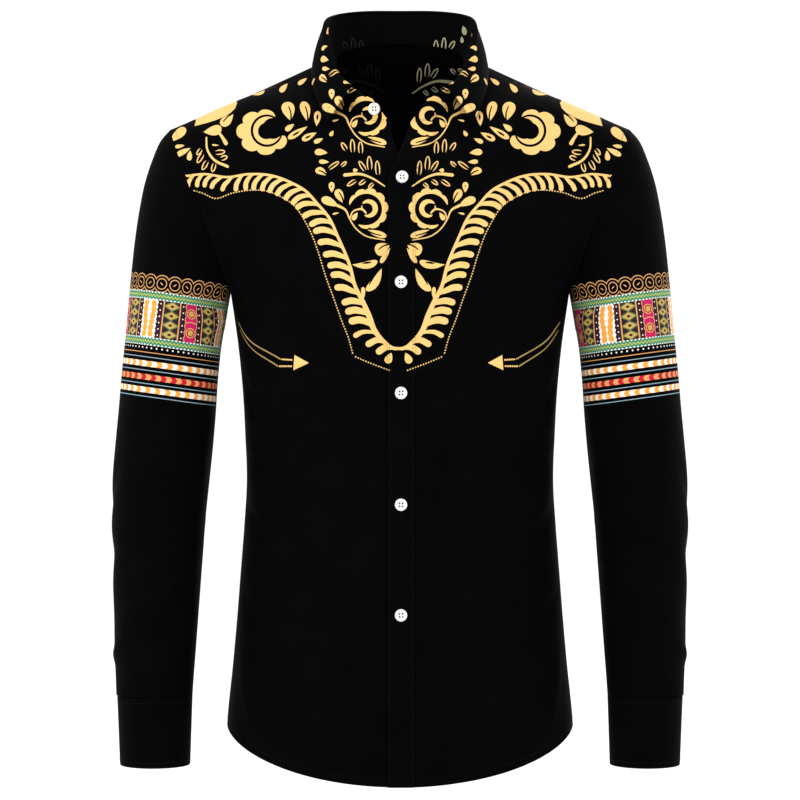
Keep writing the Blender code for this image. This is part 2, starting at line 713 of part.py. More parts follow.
def button_mesh(material):
    """A turned disc with a raised rim, a shallow well and four sewing holes."""
    half = BUTTON_HEIGHT / 2
    inside = BUTTON_RADIUS - BUTTON_RIM
    profile = (
        (0.0, half - BUTTON_WELL), (inside - BUTTON_BEVEL, half - BUTTON_WELL), (inside, half),
        (BUTTON_RADIUS - BUTTON_BEVEL, half), (BUTTON_RADIUS, 0.0),
        (BUTTON_RADIUS - BUTTON_BEVEL, -half), (0.0, -half),
    )
    data = bpy.data.meshes.new("button_profile")
    data.from_pydata([(x * MM, 0.0, z * MM) for x, z in profile],
                     [(k, k + 1) for k in range(len(profile) - 1)], [])
    blank = bpy.data.objects.new("button_blank", data)
    bpy.data.collections["cutters"].objects.link(blank)
    turn = blank.modifiers.new("turn", "SCREW")
    turn.steps = BUTTON_SIDES
    turn.render_steps = BUTTON_SIDES
    turn.use_merge_vertices = True
    turn.merge_threshold = 0.00001
    turn.use_normal_calculate = True
    drills = bmesh.new()
    for quarter in range(4):
        angle = math.pi / 4 + quarter * math.pi / 2
        made = bmesh.ops.create_cone(drills, cap_ends=True, segments=6, radius1=BUTTON_HOLE * MM,
                                     radius2=BUTTON_HOLE * MM, depth=3 * BUTTON_HEIGHT * MM)
        reach = BUTTON_HOLE_SPREAD * MM
        bmesh.ops.translate(drills, verts=made["verts"],
                            vec=(reach * math.cos(angle), reach * math.sin(angle), 0.0))
    drill_data = bpy.data.meshes.new("button_drills")
    drills.to_mesh(drill_data)
    drills.free()
    drill = bpy.data.objects.new("button_drills", drill_data)
    drill.hide_render = True
    drill.display_type = "WIRE"
    bpy.data.collections["cutters"].objects.link(drill)
    cut = blank.modifiers.new("holes", "BOOLEAN")
    cut.operation = "DIFFERENCE"
    cut.object = drill
    bpy.context.view_layer.update()
    seen = blank.evaluated_get(bpy.context.evaluated_depsgraph_get())
    mesh = bpy.data.meshes.new_from_object(seen)
    mesh.name = "button"
    mesh.materials.append(material)
    bpy.data.objects.remove(blank)
    return mesh


def place_button(name, mesh, point, out_way):
    """Seat a button just clear of the cloth at a point, facing outwards."""
    piece = bpy.data.objects.new(name, mesh)
    out = Vector(out_way)
    piece.rotation_euler = out.to_track_quat("Z", "Y").to_euler()
    piece.location = (Vector(point) + out * (SEAM + BUTTON_HEIGHT / 2)) * MM
    bpy.data.collections["shirt"].objects.link(piece)


def band_point(carriers, z):
    """Point and outward direction on the band's middle line at a height."""
    grid, normals = carriers["left_front"]
    heights = grid[:BODY_STEPS + ARM_STEPS - FRONT_NECK_STEPS, 1, 2]
    point = [np.interp(z, heights, grid[:len(heights), 1, k]) for k in range(3)]
    out = unit(np.array([np.interp(z, heights, normals[:len(heights), 1, k]) for k in range(3)]))
    return np.array(point) + out * (SEAM + BAND_CLOTH), out


def build_buttons(carriers, stand, stand_out, cuff_place, material):
    """Five buttons on the band, one on the collar stand and one on each cuff."""
    mesh = button_mesh(material)
    for number, z in enumerate(FRONT_BUTTON_Z, 1):
        point, out = band_point(carriers, z)
        place_button("button_front_%d" % number, mesh, point + out * FRONT_BUTTON_SEAT, out)
    near = (stand[1, -1] + stand[2, -2]) / 2
    out = unit(stand_out[1, -1] + stand_out[2, -2])
    place_button("button_collar", mesh, near + out * COLLAR_BUTTON_SEAT, out)
    point, out = cuff_place
    for label, sign in (("left", 1.0), ("right", -1.0)):
        way = np.array([sign, 1.0, 1.0])
        seat = point + out * CUFF_BUTTON_SEAT
        place_button("button_cuff_" + label, mesh, seat * way, out * way)


def main():
    for item in list(bpy.data.objects):
        bpy.data.objects.remove(item)
    for name in ("shirt", "cutters"):
        bpy.context.scene.collection.children.link(bpy.data.collections.new(name))
    cloth = plain_material("black_cotton_poplin", COLOURS["cloth"], 0.85)
    white = plain_material("white_polyester_button", COLOURS["button"], 0.3)
    carriers = build_body(cloth)
    build_strips(carriers, cloth)
    cuff_place = build_cuffs(cloth)
    stand, stand_out = build_collar(cloth)
    build_buttons(carriers, stand, stand_out, cuff_place, white)


main()
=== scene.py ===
# %% [markdown]
# # A printed dashiki shirt, as worn
# The shirt is black cotton poplin with a gold pigment print over the chest and a
# bright border band round each sleeve. The construction is already there as a
# frame of solid pieces. This lesson dresses that frame: every cut piece becomes a
# thin sheet of cloth with its creases, and the print is cut into the cloth's own
# mesh, so that its edges stay sharp at any distance.

# %% Load the frame
import math

import bmesh
import bpy
import numpy as np
from mathutils import Matrix, Vector
from mathutils.bvhtree import BVHTree
from mathutils.geometry import barycentric_transform, delaunay_2d_cdt


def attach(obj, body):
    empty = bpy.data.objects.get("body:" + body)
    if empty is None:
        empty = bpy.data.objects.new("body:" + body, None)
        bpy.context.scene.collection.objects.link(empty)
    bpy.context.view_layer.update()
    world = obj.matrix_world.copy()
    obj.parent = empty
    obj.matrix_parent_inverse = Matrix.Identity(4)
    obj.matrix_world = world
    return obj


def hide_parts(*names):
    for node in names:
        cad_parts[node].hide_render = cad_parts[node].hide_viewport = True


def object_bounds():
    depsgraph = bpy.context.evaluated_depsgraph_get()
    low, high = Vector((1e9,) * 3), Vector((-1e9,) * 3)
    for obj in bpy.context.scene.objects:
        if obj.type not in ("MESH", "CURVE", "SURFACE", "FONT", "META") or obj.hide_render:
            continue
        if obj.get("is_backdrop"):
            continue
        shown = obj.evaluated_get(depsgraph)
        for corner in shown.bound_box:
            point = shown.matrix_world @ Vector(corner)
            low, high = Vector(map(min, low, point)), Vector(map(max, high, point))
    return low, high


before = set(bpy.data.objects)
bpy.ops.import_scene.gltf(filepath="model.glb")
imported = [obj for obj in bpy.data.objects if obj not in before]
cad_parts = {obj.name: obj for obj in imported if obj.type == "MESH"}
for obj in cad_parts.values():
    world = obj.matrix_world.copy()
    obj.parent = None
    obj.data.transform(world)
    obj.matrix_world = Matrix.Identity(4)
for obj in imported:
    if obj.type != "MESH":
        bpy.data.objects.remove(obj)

cad_box = [list(corner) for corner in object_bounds()]
MM = 0.001
print("frame pieces:", len(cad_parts))

# %% [markdown]
# ## The shirt's own sizes
# A shirt is drafted from a few sizes: half widths and depths by height, the line
# of the neck seam, the armhole and the sleeve's rings. They are the same sizes
# as the frame's, in millimetres, so each sheet lies exactly where its solid is.

# %% Sizes of the body
BAND_CLOTH = 1.2
COLLAR_CLOTH = 2.0
CUFF_CLOTH = 2.0
CLOTH = 1.5
SEAM = 0.3
SECTION_POWER = 2.35
ARMPIT_Z = -227.0
HALF_WIDTH = ((-720, 174.0), (-655, 172.5), (-594, 166.5), (-549, 162.5), (-504, 159.0),
              (-459, 155.5), (-414, 153.0), (-369, 154.5), (-324, 157.0), (-279, 161.5),
              (ARMPIT_Z, 169.0), (-180, 176.0))
FRONT_DEPTH = ((-720, 113), (-655, 112), (-594, 109), (-549, 106), (-504, 104), (-459, 102),
               (-414, 102), (-369, 104), (-324, 108), (-279, 112), (-227, 115), (-190, 115),
               (-150, 111), (-120, 106), (-98, 98), (-80, 88), (-64, 78))
BACK_DEPTH = ((-720, 112), (-655, 111), (-594, 107), (-549, 102), (-504, 97), (-459, 93),
              (-414, 92), (-369, 93), (-324, 97), (-279, 102), (-227, 108), (-190, 111),
              (-150, 111), (-110, 106), (-70, 96), (-40, 82), (-10, 64), (26, 42))
HEM_SIDE_Z = -655.0
HEM_FRONT_Z = -707.0
HEM_BACK_Z = -716.0
HEM_POWER = 0.65
NECK_SEAM = ((0.00, 10.0, -77, -64), (0.16, 30.0, -72, -60), (0.32, 47.5, -56, -47),
             (0.46, 59.0, -32, -24), (0.62, 64.5, 0, 5), (0.78, 53.0, 26, 18),
             (0.90, 29.0, 38, 24), (1.00, 0.0, 42, 26))
NECK_POINT = 0.62
ARMHOLE_BOTTOM = (169.0, -227.0)
ARMHOLE_TOP = (229.0, -64.0)
ARMHOLE_FRONT = 62.0
ARMHOLE_BACK = 58.0
ARMHOLE_POWER = 2.15
SHOULDER_ROUND = (23.0, 2.0)
RIM_BLEND = (0.3, 0.65)
CLOSURE_X = 1.0
OVERLAP = 13.0
LAP_FADE = 45.0
LAP_TOP_Z = -92.0
LAP_TOP_FADE = 18.0
EDGE_HEIGHTS = (-720, -125, -112, -98, -80, -64)
FRONT_EDGES = {
    "left": (-12.0, -12.0, -9.0, -2.0, 5.0, 10.0),
    "right": (-14.0, -14.0, -7.0, 1.5, 6.5, 10.0),
}

# %% Sizes of the sleeve, cuff and collar
# Columns: outer x, outer z, inner x, inner z, centre y, half depth
SLEEVE = (
    (229.0, -64, 169.0, -227, -2, 60.0), (238.0, -74, 169.9, -231, -2, 61.0),
    (247.0, -94, 170.6, -235, -2, 62.5), (254.5, -117, 171.4, -240, -2, 63.5),
    (260.0, -144, 172.3, -245, -2, 64.0), (264.5, -174, 173.3, -251, -2, 64.5),
    (268.0, -206, 174.5, -257, -2, 65.0), (271.0, -238, 176.2, -266, -2, 65.0),
    (274.0, -269, 179.0, -284, -2, 64.5), (277.2, -302, 181.8, -313, -3, 63.0),
    (280.5, -342, 184.2, -350, -4, 61.0), (283.5, -374, 186.7, -380, -5, 59.0),
    (286.4, -409, 190.1, -414, -6, 57.0), (287.2, -443, 193.5, -447, -8, 55.5),
    (287.5, -478, 195.8, -480, -11, 53.5), (285.7, -513, 198.1, -514, -15, 51.0),
    (283.8, -547, 200.3, -547, -19, 48.0), (282.9, -580, 202.4, -580, -24, 44.5),
    (281.5, -606, 204.2, -606, -28, 41.5), (280.7, -625, 205.4, -625, -30, 40.0),
)
SLEEVE_POWER = 2.1
CUFF_DROP = (625.3, 694.0)
CUFF_OUTER = (279.5, 276.4)
CUFF_INNER = (205.4, 207.5)
CUFF_CENTRE_Y = (-30.0, -33.0)
CUFF_HALF_DEPTH = (40.0, 39.5)
CUFF_LAP_ANGLE = 238.0
CUFF_LAP = 34.0
CUFF_LAP_RAMP = 26.0
CUFF_BUTTON_INSET = 9.0
STRIP_START = 0.767
STRIP_SPAN = (-3, 8)
STAND_TOP = ((0.00, 28.0, -76, -41), (0.16, 44.0, -68, -31), (0.32, 60.5, -51, -15),
             (0.46, 69.5, -30, 8), (0.62, 73.0, 3, 39), (0.78, 62.0, 30, 52),
             (0.90, 33.0, 44, 57), (1.00, 0.0, 50, 58))
LEAF_START = 0.177
LEAF_EDGE = ((0.14, 69.0, -89, -68), (0.32, 79.0, -66, -47), (0.46, 86.5, -36, -25),
             (0.62, 87.5, 4, 1), (0.70, 83.0, 23, 8), (0.78, 72.0, 41, 12),
             (0.90, 39.0, 56, 15), (1.00, 0.0, 61, 15))
LEAF_ROLL = 3.4
LEAF_GAP = 0.8
LEAF_SWELL = 2.0
BUTTON_RADIUS = 5.9
BUTTON_HEIGHT = 2.4
FRONT_BUTTON_Z = (-119.5, -220.5, -327.0, -435.0, -541.5)
FRONT_BUTTON_SEAT = 0.1
COLLAR_BUTTON_SEAT = 0.9
CUFF_BUTTON_SEAT = 0.3

# %% Mesh counts: about 3 mm to a step
ARM_STEPS = 70
FRONT_NECK_STEPS = 35
BACK_NECK_STEPS = 20
BODY_STEPS = 112
STRIP_STEPS = 8
PANEL_STEPS = 70
SLEEVE_ROWS = 150
STAND_ROWS = 10
ROLL_STEPS = 10
FALL_STEPS = 16
CUFF_STEPS = 120
CUFF_ROWS = 22
ARC_POINTS = 80
FINE_STEPS = 400


# %% [markdown]
# ## Smooth lines through few sizes
# A pattern cutter joins a few measured points with a French curve. The same is
# done here by a cubic curve through the rows of each table, in numpy, because
# thousands of points are needed and operators would be slow.

# %% Curves and small vector helpers
def smooth(places, values, wanted):
    """Values at the wanted places on a smooth curve through the given ones."""
    places = np.asarray(places, float)
    values = np.asarray(values, float)
    wanted = np.atleast_1d(np.asarray(wanted, float))
    slopes = np.gradient(values, places, axis=0)
    i = np.clip(np.searchsorted(places, wanted) - 1, 0, len(places) - 2)
    shape = (-1,) + (1,) * (values.ndim - 1)
    span = (places[i + 1] - places[i]).reshape(shape)
    t = np.clip((wanted - places[i]).reshape(shape) / span, 0.0, 1.0)
    start = values[i] * (1 + 2 * t) * (1 - t) ** 2 + values[i + 1] * t * t * (3 - 2 * t)
    return start + span * t * (1 - t) * (slopes[i] * (1 - t) - slopes[i + 1] * t)


def at(rows, place):
    data = np.array(rows, float)
    return smooth(data[:, 0], data[:, 1:], place)[0]


def ease(value):
    value = np.clip(value, 0.0, 1.0)
    return value * value * (3 - 2 * value)


def unit(vectors):
    return vectors / np.maximum(np.linalg.norm(vectors, axis=-1, keepdims=True), 1e-9)


def run_of(points):
    """Distance along a line of points, from its first one."""
    return np.concatenate([[0.0], np.cumsum(np.linalg.norm(np.diff(points, axis=0), axis=1))])


def spaced(points, count):
    """The same line with count + 1 points at equal distances."""
    points = np.array(points, float)
    run = run_of(points)
    steps = np.linspace(0.0, run[-1], count + 1)
    return np.stack([np.interp(steps, run, column) for column in points.T], axis=1)


def curve(points, count):
    """A smooth line through a few points, at equal distances."""
    points = np.array(points, float)
    run = run_of(points)
    return spaced(smooth(run, points, np.linspace(0.0, run[-1], 6 * count)), count)


def girth(grid):
    steps = np.linalg.norm(np.diff(grid, axis=1), axis=2)
    return np.concatenate([np.zeros((len(grid), 1)), np.cumsum(steps, axis=1)], axis=1)


def column_run(grid):
    """Distance down each column, from the sheet's first row."""
    down = np.linalg.norm(np.diff(grid, axis=0), axis=2)
    return np.concatenate([np.zeros((1, grid.shape[1])), np.cumsum(down, axis=0)])


def flip(grid):
    return grid * np.array([-1.0, 1.0, 1.0])


# %% [markdown]
# ## Fronts and back
# Each panel is a sheet of rows from hem to shoulder. Below the armpit a row is
# part of a flat-sided oval. Above it, a row runs from the closure or the neck
# seam to the armhole, and the last row is the shoulder seam.

# %% Rows of the panels
def armhole(turn, side):
    """Point of the armhole seam: turn 0 at the armpit, 1 at the shoulder tip."""
    angle = math.pi * turn
    rise = (1 - math.cos(angle)) / 2
    depth = ARMHOLE_FRONT if side < 0 else ARMHOLE_BACK
    x = ARMHOLE_BOTTOM[0] + (ARMHOLE_TOP[0] - ARMHOLE_BOTTOM[0]) * rise
    z = ARMHOLE_BOTTOM[1] + (ARMHOLE_TOP[1] - ARMHOLE_BOTTOM[1]) * rise
    return np.array([x, side * depth * max(math.sin(angle), 0.0) ** (2 / ARMHOLE_POWER), z])


def section_row(start_x, inner, outer, lift, steps):
    """|y| to the section power runs evenly in x to that power."""
    power = SECTION_POWER
    inner_x, inner_y, inner_z = inner
    outer_x, outer_y, outer_z = outer
    side = math.copysign(1.0, inner_y)
    x = start_x + (outer_x - start_x) * np.sin(np.linspace(0.0, math.pi / 2, ARC_POINTS))
    share = (np.abs(x) ** power - inner_x ** power) / (outer_x ** power - inner_x ** power)
    depth = abs(inner_y) ** power + (abs(outer_y) ** power - abs(inner_y) ** power) * share
    level_x = max(inner_x, CLOSURE_X + OVERLAP)
    across = np.clip((x - level_x) / (outer_x - level_x), 0.0, 1.0)
    z = inner_z + (outer_z - inner_z) * across + lift * np.sin(math.pi * across) ** 1.4
    line = np.stack([x, side * np.maximum(depth, 0.0) ** (1 / power), z], axis=1)
    return spaced(line, steps)


def shoulder_lift(turn, side):
    rise = SHOULDER_ROUND[0] if side < 0 else SHOULDER_ROUND[1]
    return rise * math.sin(math.pi * max((turn - 0.1) / 0.9, 0.0) ** 1.4)


def body_row(height_share, start_x, side, hem_z, steps):
    """One row below the armpit; share 0 is the hem and 1 the armpit."""
    depths = np.array(FRONT_DEPTH if side < 0 else BACK_DEPTH, float)
    widths = np.array(HALF_WIDTH, float)
    start = start_x / at(HALF_WIDTH, ARMPIT_Z)[0]
    reach = start + (1 - start) * np.sin(np.linspace(0.0, math.pi / 2, ARC_POINTS))
    hem = HEM_SIDE_Z + (hem_z - HEM_SIDE_Z) * (1 - np.minimum(reach * reach, 1.0)) ** HEM_POWER
    z = hem + (ARMPIT_Z - hem) * height_share
    round_off = np.maximum(1 - np.abs(reach) ** SECTION_POWER, 0.0) ** (1 / SECTION_POWER)
    x = reach * smooth(widths[:, 0], widths[:, 1], z)
    y = side * smooth(depths[:, 0], depths[:, 1], z) * round_off
    return spaced(np.stack([x, y, z], axis=1), steps)


def strip_and_panel(line, edge):
    """Even columns over the placket strip, then even columns to the side."""
    x = line[:, 0]
    stitch = edge + 2 * OVERLAP
    columns = np.linspace(edge, stitch, STRIP_STEPS + 1)
    head = np.array([[np.interp(c, x, line[:, k]) for k in range(3)] for c in columns])
    tail = spaced(np.vstack([head[-1], line[x > stitch + 1e-6]]), PANEL_STEPS)
    return np.vstack([head[:-1], tail])


def shoulder_line(steps, y):
    start = at(NECK_SEAM, NECK_POINT)
    share = np.linspace(0.0, 1.0, steps + 1)
    x = start[0] + (ARMHOLE_TOP[0] - start[0]) * share
    z = start[2] + (ARMHOLE_TOP[1] - start[2]) * share
    return np.stack([x, np.full_like(x, y), z], axis=1)


# %% Whole panels and their outward directions
def front_grid(label):
    """Outer face of one front, for the side at +X: rows from hem to shoulder."""
    edges = FRONT_EDGES[label]
    grid = []
    for k in range(BODY_STEPS):
        line = body_row(k / BODY_STEPS, edges[0], -1, HEM_FRONT_Z, FINE_STEPS)
        grid.append(strip_and_panel(line, edges[0]))
    centre_steps = ARM_STEPS - FRONT_NECK_STEPS
    for step in range(ARM_STEPS):
        turn = step / ARM_STEPS
        if step <= centre_steps:
            z = ARMPIT_Z + (NECK_SEAM[0][3] - ARMPIT_Z) * step / centre_steps
            inner = (0.0, -at(FRONT_DEPTH, z)[0], z)
            edge = np.interp(z, EDGE_HEIGHTS, edges)
        else:
            inner = tuple(at(NECK_SEAM, NECK_POINT * (step - centre_steps) / FRONT_NECK_STEPS))
            edge = inner[0]
        line = section_row(edge, inner, armhole(turn, -1), shoulder_lift(turn, -1), FINE_STEPS)
        grid.append(strip_and_panel(line, edge))
    grid.append(shoulder_line(STRIP_STEPS + PANEL_STEPS, -SEAM / 2))
    return np.array(grid)


def back_grid():
    """Outer face of one half of the back, from hem to shoulder."""
    steps = STRIP_STEPS + PANEL_STEPS
    grid = [body_row(k / BODY_STEPS, 0.0, 1, HEM_BACK_Z, steps) for k in range(BODY_STEPS)]
    centre_steps = ARM_STEPS - BACK_NECK_STEPS
    for step in range(ARM_STEPS):
        turn = step / ARM_STEPS
        if step <= centre_steps:
            z = ARMPIT_Z + (NECK_SEAM[-1][3] - ARMPIT_Z) * step / centre_steps
            inner = (0.0, at(BACK_DEPTH, z)[0], z)
        else:
            share = 1 - (1 - NECK_POINT) * (step - centre_steps) / BACK_NECK_STEPS
            inner = tuple(at(NECK_SEAM, share))
        lift = shoulder_lift(turn, 1)
        grid.append(section_row(inner[0], inner, armhole(turn, 1), lift, steps))
    grid.append(shoulder_line(steps, SEAM / 2))
    return np.array(grid)


def normals_of(grid, closed):
    """Unit normals of a grid of points, by the steps to its neighbours."""
    if closed:
        across = np.roll(grid, -1, axis=1) - np.roll(grid, 1, axis=1)
    else:
        across = np.gradient(grid, axis=1)
    return unit(np.cross(across, np.gradient(grid, axis=0)))


def panel_normals(grid):
    """Normals of a half panel, square to its side seam and shoulder seam."""
    side = math.copysign(1.0, grid[0, 0, 1])
    normals = normals_of(grid, False) * -side
    normals[:BODY_STEPS + 1, -1] = (1.0, 0.0, 0.0)
    start = at(NECK_SEAM, NECK_POINT)
    normals[-1, :] = unit(np.array([start[2] - ARMHOLE_TOP[1], 0.0, ARMHOLE_TOP[0] - start[0]]))
    return normals


def lap_lift(grid):
    """How far the left front lies outside the right one at the closure."""
    side_ways = 1 - ease((grid[..., 0] - CLOSURE_X - OVERLAP - 0.01) / LAP_FADE)
    upward = 1 - ease((grid[..., 2] - LAP_TOP_Z) / LAP_TOP_FADE)
    return (CLOTH + SEAM) * side_ways * upward


# %% [markdown]
# ## Creases
# Poplin is crisp: it breaks into long soft troughs where the body is narrower
# than the cut, at the armpit, the waist, the elbow and above the cuff. A simulation
# would drape the whole garment but would not put those breaks where they are
# wanted, so each is listed as a line with its own length, width and depth.

# %% Crease lines
# Columns: girth and height of one end, of the other end, width, rise
FRONT_FOLDS = (
    (120, -250, 40, -330, 26, -4.5), (150, -285, 70, -365, 24, 3.5),
    (175, -380, 95, -430, 26, -4.0), (150, -455, 60, -470, 28, 3.5),
    (185, -500, 110, -590, 28, -4.5), (90, -540, 70, -660, 30, 4.0),
    (150, -600, 140, -690, 24, 3.5),
)
BACK_FOLDS = (
    (150, -250, 60, -345, 26, -4.5), (160, -330, 80, -400, 24, 3.5),
    (165, -410, 60, -440, 26, -4.5), (140, -475, 40, -500, 26, 4.0),
    (170, -540, 120, -650, 28, -4.0), (60, -560, 55, -700, 32, 4.5),
)
FRONT_CREASES = (
    (212, -215, 165, -262, 9, -2.2), (216, -236, 150, -300, 8, 1.7), (205, -252, 120, -292, 7, -1.5),
    (196, -205, 150, -228, 8, 1.6), (208, -300, 160, -352, 8, -1.4), (200, -345, 140, -372, 9, 1.5),
    (206, -392, 120, -408, 8, -1.9), (190, -418, 105, -446, 7, 1.6), (208, -430, 150, -470, 8, -1.6),
    (60, -330, 30, -352, 8, -1.2), (66, -436, 28, -440, 9, -1.3), (58, -541, 30, -560, 8, 1.2),
    (208, -520, 160, -556, 9, -1.5), (196, -585, 168, -660, 9, 1.7), (120, -600, 104, -690, 10, -1.8),
    (46, -590, 52, -690, 10, 1.4), (78, -185, 58, -250, 10, -1.1),
)
BACK_CREASES = (
    (205, -218, 150, -268, 9, -2.2), (210, -240, 135, -300, 8, 1.8), (200, -262, 110, -330, 8, -1.6),
    (90, -120, 60, -210, 12, -1.6), (30, -90, 22, -190, 12, 1.3), (205, -380, 110, -402, 8, -1.8),
    (190, -400, 70, -432, 8, 1.7), (205, -428, 120, -458, 8, -1.7), (120, -470, 30, -478, 9, -1.6),
    (95, -520, 80, -640, 11, -1.7), (30, -560, 22, -690, 11, 1.6), (180, -560, 150, -650, 9, 1.5),
    (150, -90, 120, -150, 12, -1.5),
)
FOLD_TOP_Z = -150.0
FOLD_FADE = 60.0
CLOSURE_FADE = 40.0
CENTRE_BACK_FADE = 30.0
CREASE_FADE = 16.0
SLEEVE_FADE = 52.0
CUFF_FADE = 24.0
SLEEVE_RADIUS = 52.0

# Columns: angle from the underarm by the front and drop along the sleeve of one
# end, of the other end, width, rise
SLEEVE_FOLDS = (
    (20, 40, 95, 95, 16, -4.0), (300, 60, 250, 130, 18, -4.0), (60, 190, 130, 230, 16, -3.5),
    (20, 245, 110, 262, 15, 4.0), (40, 275, 120, 300, 15, -4.5), (330, 250, 240, 285, 16, -4.0),
    (320, 300, 230, 325, 15, 3.5), (150, 330, 220, 380, 16, -3.0), (60, 385, 150, 420, 15, 3.0),
    (300, 390, 210, 430, 16, -3.5),
)
SLEEVE_CREASES = (
    (15, 30, 80, 120, 8, -2.0), (30, 22, 110, 92, 7, 1.6), (345, 40, 285, 110, 8, -1.9),
    (10, 70, 60, 150, 7, 1.5), (350, 90, 300, 170, 8, 1.6), (30, 235, 105, 240, 6, -1.9),
    (15, 262, 100, 283, 6, 1.9), (25, 292, 90, 322, 6, -1.9), (345, 238, 265, 255, 6, 1.8),
    (340, 280, 250, 305, 6, -2.0), (350, 312, 275, 345, 6, 1.6), (140, 255, 190, 320, 8, -1.4),
    (70, 330, 140, 362, 7, -1.6), (20, 352, 100, 392, 7, 1.7), (320, 350, 250, 392, 7, -1.7),
    (40, 418, 120, 438, 6, -1.9), (130, 432, 205, 456, 6, 1.8), (60, 452, 140, 470, 6, 1.7),
    (300, 440, 225, 462, 6, -1.9), (345, 462, 280, 486, 6, 1.7), (100, 478, 170, 492, 5, -1.7),
    (200, 484, 262, 496, 5, 1.6), (20, 488, 80, 500, 5, 1.5), (180, 120, 200, 190, 10, -1.4),
    (110, 130, 125, 200, 9, 1.2), (240, 150, 232, 225, 9, 1.4),
)


def relief(u, v, folds):
    """Soft ridges and troughs along short lines on the cloth."""
    height = np.zeros_like(u)
    for u0, v0, u1, v1, width, rise in folds:
        run_u, run_v = u1 - u0, v1 - v0
        length = math.hypot(run_u, run_v)
        along = ((u - u0) * run_u + (v - v0) * run_v) / length ** 2
        across = ((u - u0) * run_v - (v - v0) * run_u) / length
        height += rise * np.exp(-(across / width) ** 2) * np.exp(-(2.2 * (along - 0.5)) ** 4)
    return height


def edge_fade(grid, reach):
    """0 at the sheet's four edges and 1 further in than reach."""
    rise = column_run(grid)
    u = girth(grid)
    near = np.minimum(np.minimum(rise, rise[-1] - rise), np.minimum(u, u[:, -1:] - u))
    return ease(near / reach)


def around(angle):
    return math.radians(angle) * SLEEVE_RADIUS


# %% [markdown]
# ## Sleeves
# A sleeve is rings from the armhole to the cuff. Its first ring is the armhole
# itself. The wall directions of body and sleeve turn parallel towards the
# shoulder tip, so that the two rims lie side by side along the seam.

# %% Sleeve rings
def swing_of(angle):
    """How far a ring swings to the front at an angle, from -1 to 1."""
    return math.copysign(abs(math.sin(angle)) ** (2 / SLEEVE_POWER), math.sin(angle))


def sleeve_grid():
    """Outer face of the sleeve, with the drop along its middle at each row."""
    reach = ARMHOLE_TOP[0] - ARMHOLE_BOTTOM[0]
    climb = ARMHOLE_TOP[1] - ARMHOLE_BOTTOM[1]
    leave = unit(np.array([climb, 0.0, -reach])) * SEAM
    rings = []
    for index, row in enumerate(SLEEVE):
        outer_x, outer_z, inner_x, inner_z, centre_y, half_depth = row
        ring = []
        for step in range(2 * ARM_STEPS):
            angle = math.pi * step / ARM_STEPS
            if index == 0:
                turn = step / ARM_STEPS if step <= ARM_STEPS else 2 - step / ARM_STEPS
                ring.append(armhole(turn, -1 if step <= ARM_STEPS else 1) + leave)
                continue
            rise = (1 - math.cos(angle)) / 2
            ring.append((inner_x + (outer_x - inner_x) * rise,
                         centre_y - half_depth * swing_of(angle),
                         inner_z + (outer_z - inner_z) * rise))
        rings.append(ring)
    rings = np.array(rings, float)
    drop = run_of(rings.mean(axis=1))
    wanted = np.linspace(0.0, drop[-1], SLEEVE_ROWS + 1)
    return smooth(drop, rings, wanted), wanted


def armhole_normals(panel_front, panel_back, sleeve):
    """Shared wall directions at the armhole, for the body's rim and the sleeve's."""
    count = 2 * ARM_STEPS
    body = np.zeros((count, 3))
    for step in range(count):
        source = panel_front if step <= ARM_STEPS else panel_back
        body[step] = source[BODY_STEPS + min(step, count - step), -1]
    height = np.array([min(step, count - step) / ARM_STEPS for step in range(count)])
    weight = ease((height - RIM_BLEND[0]) / (RIM_BLEND[1] - RIM_BLEND[0]))[:, None]
    shared = unit(body + sleeve)
    return unit(body * (1 - weight) + shared * weight), unit(sleeve * (1 - weight) + shared * weight)


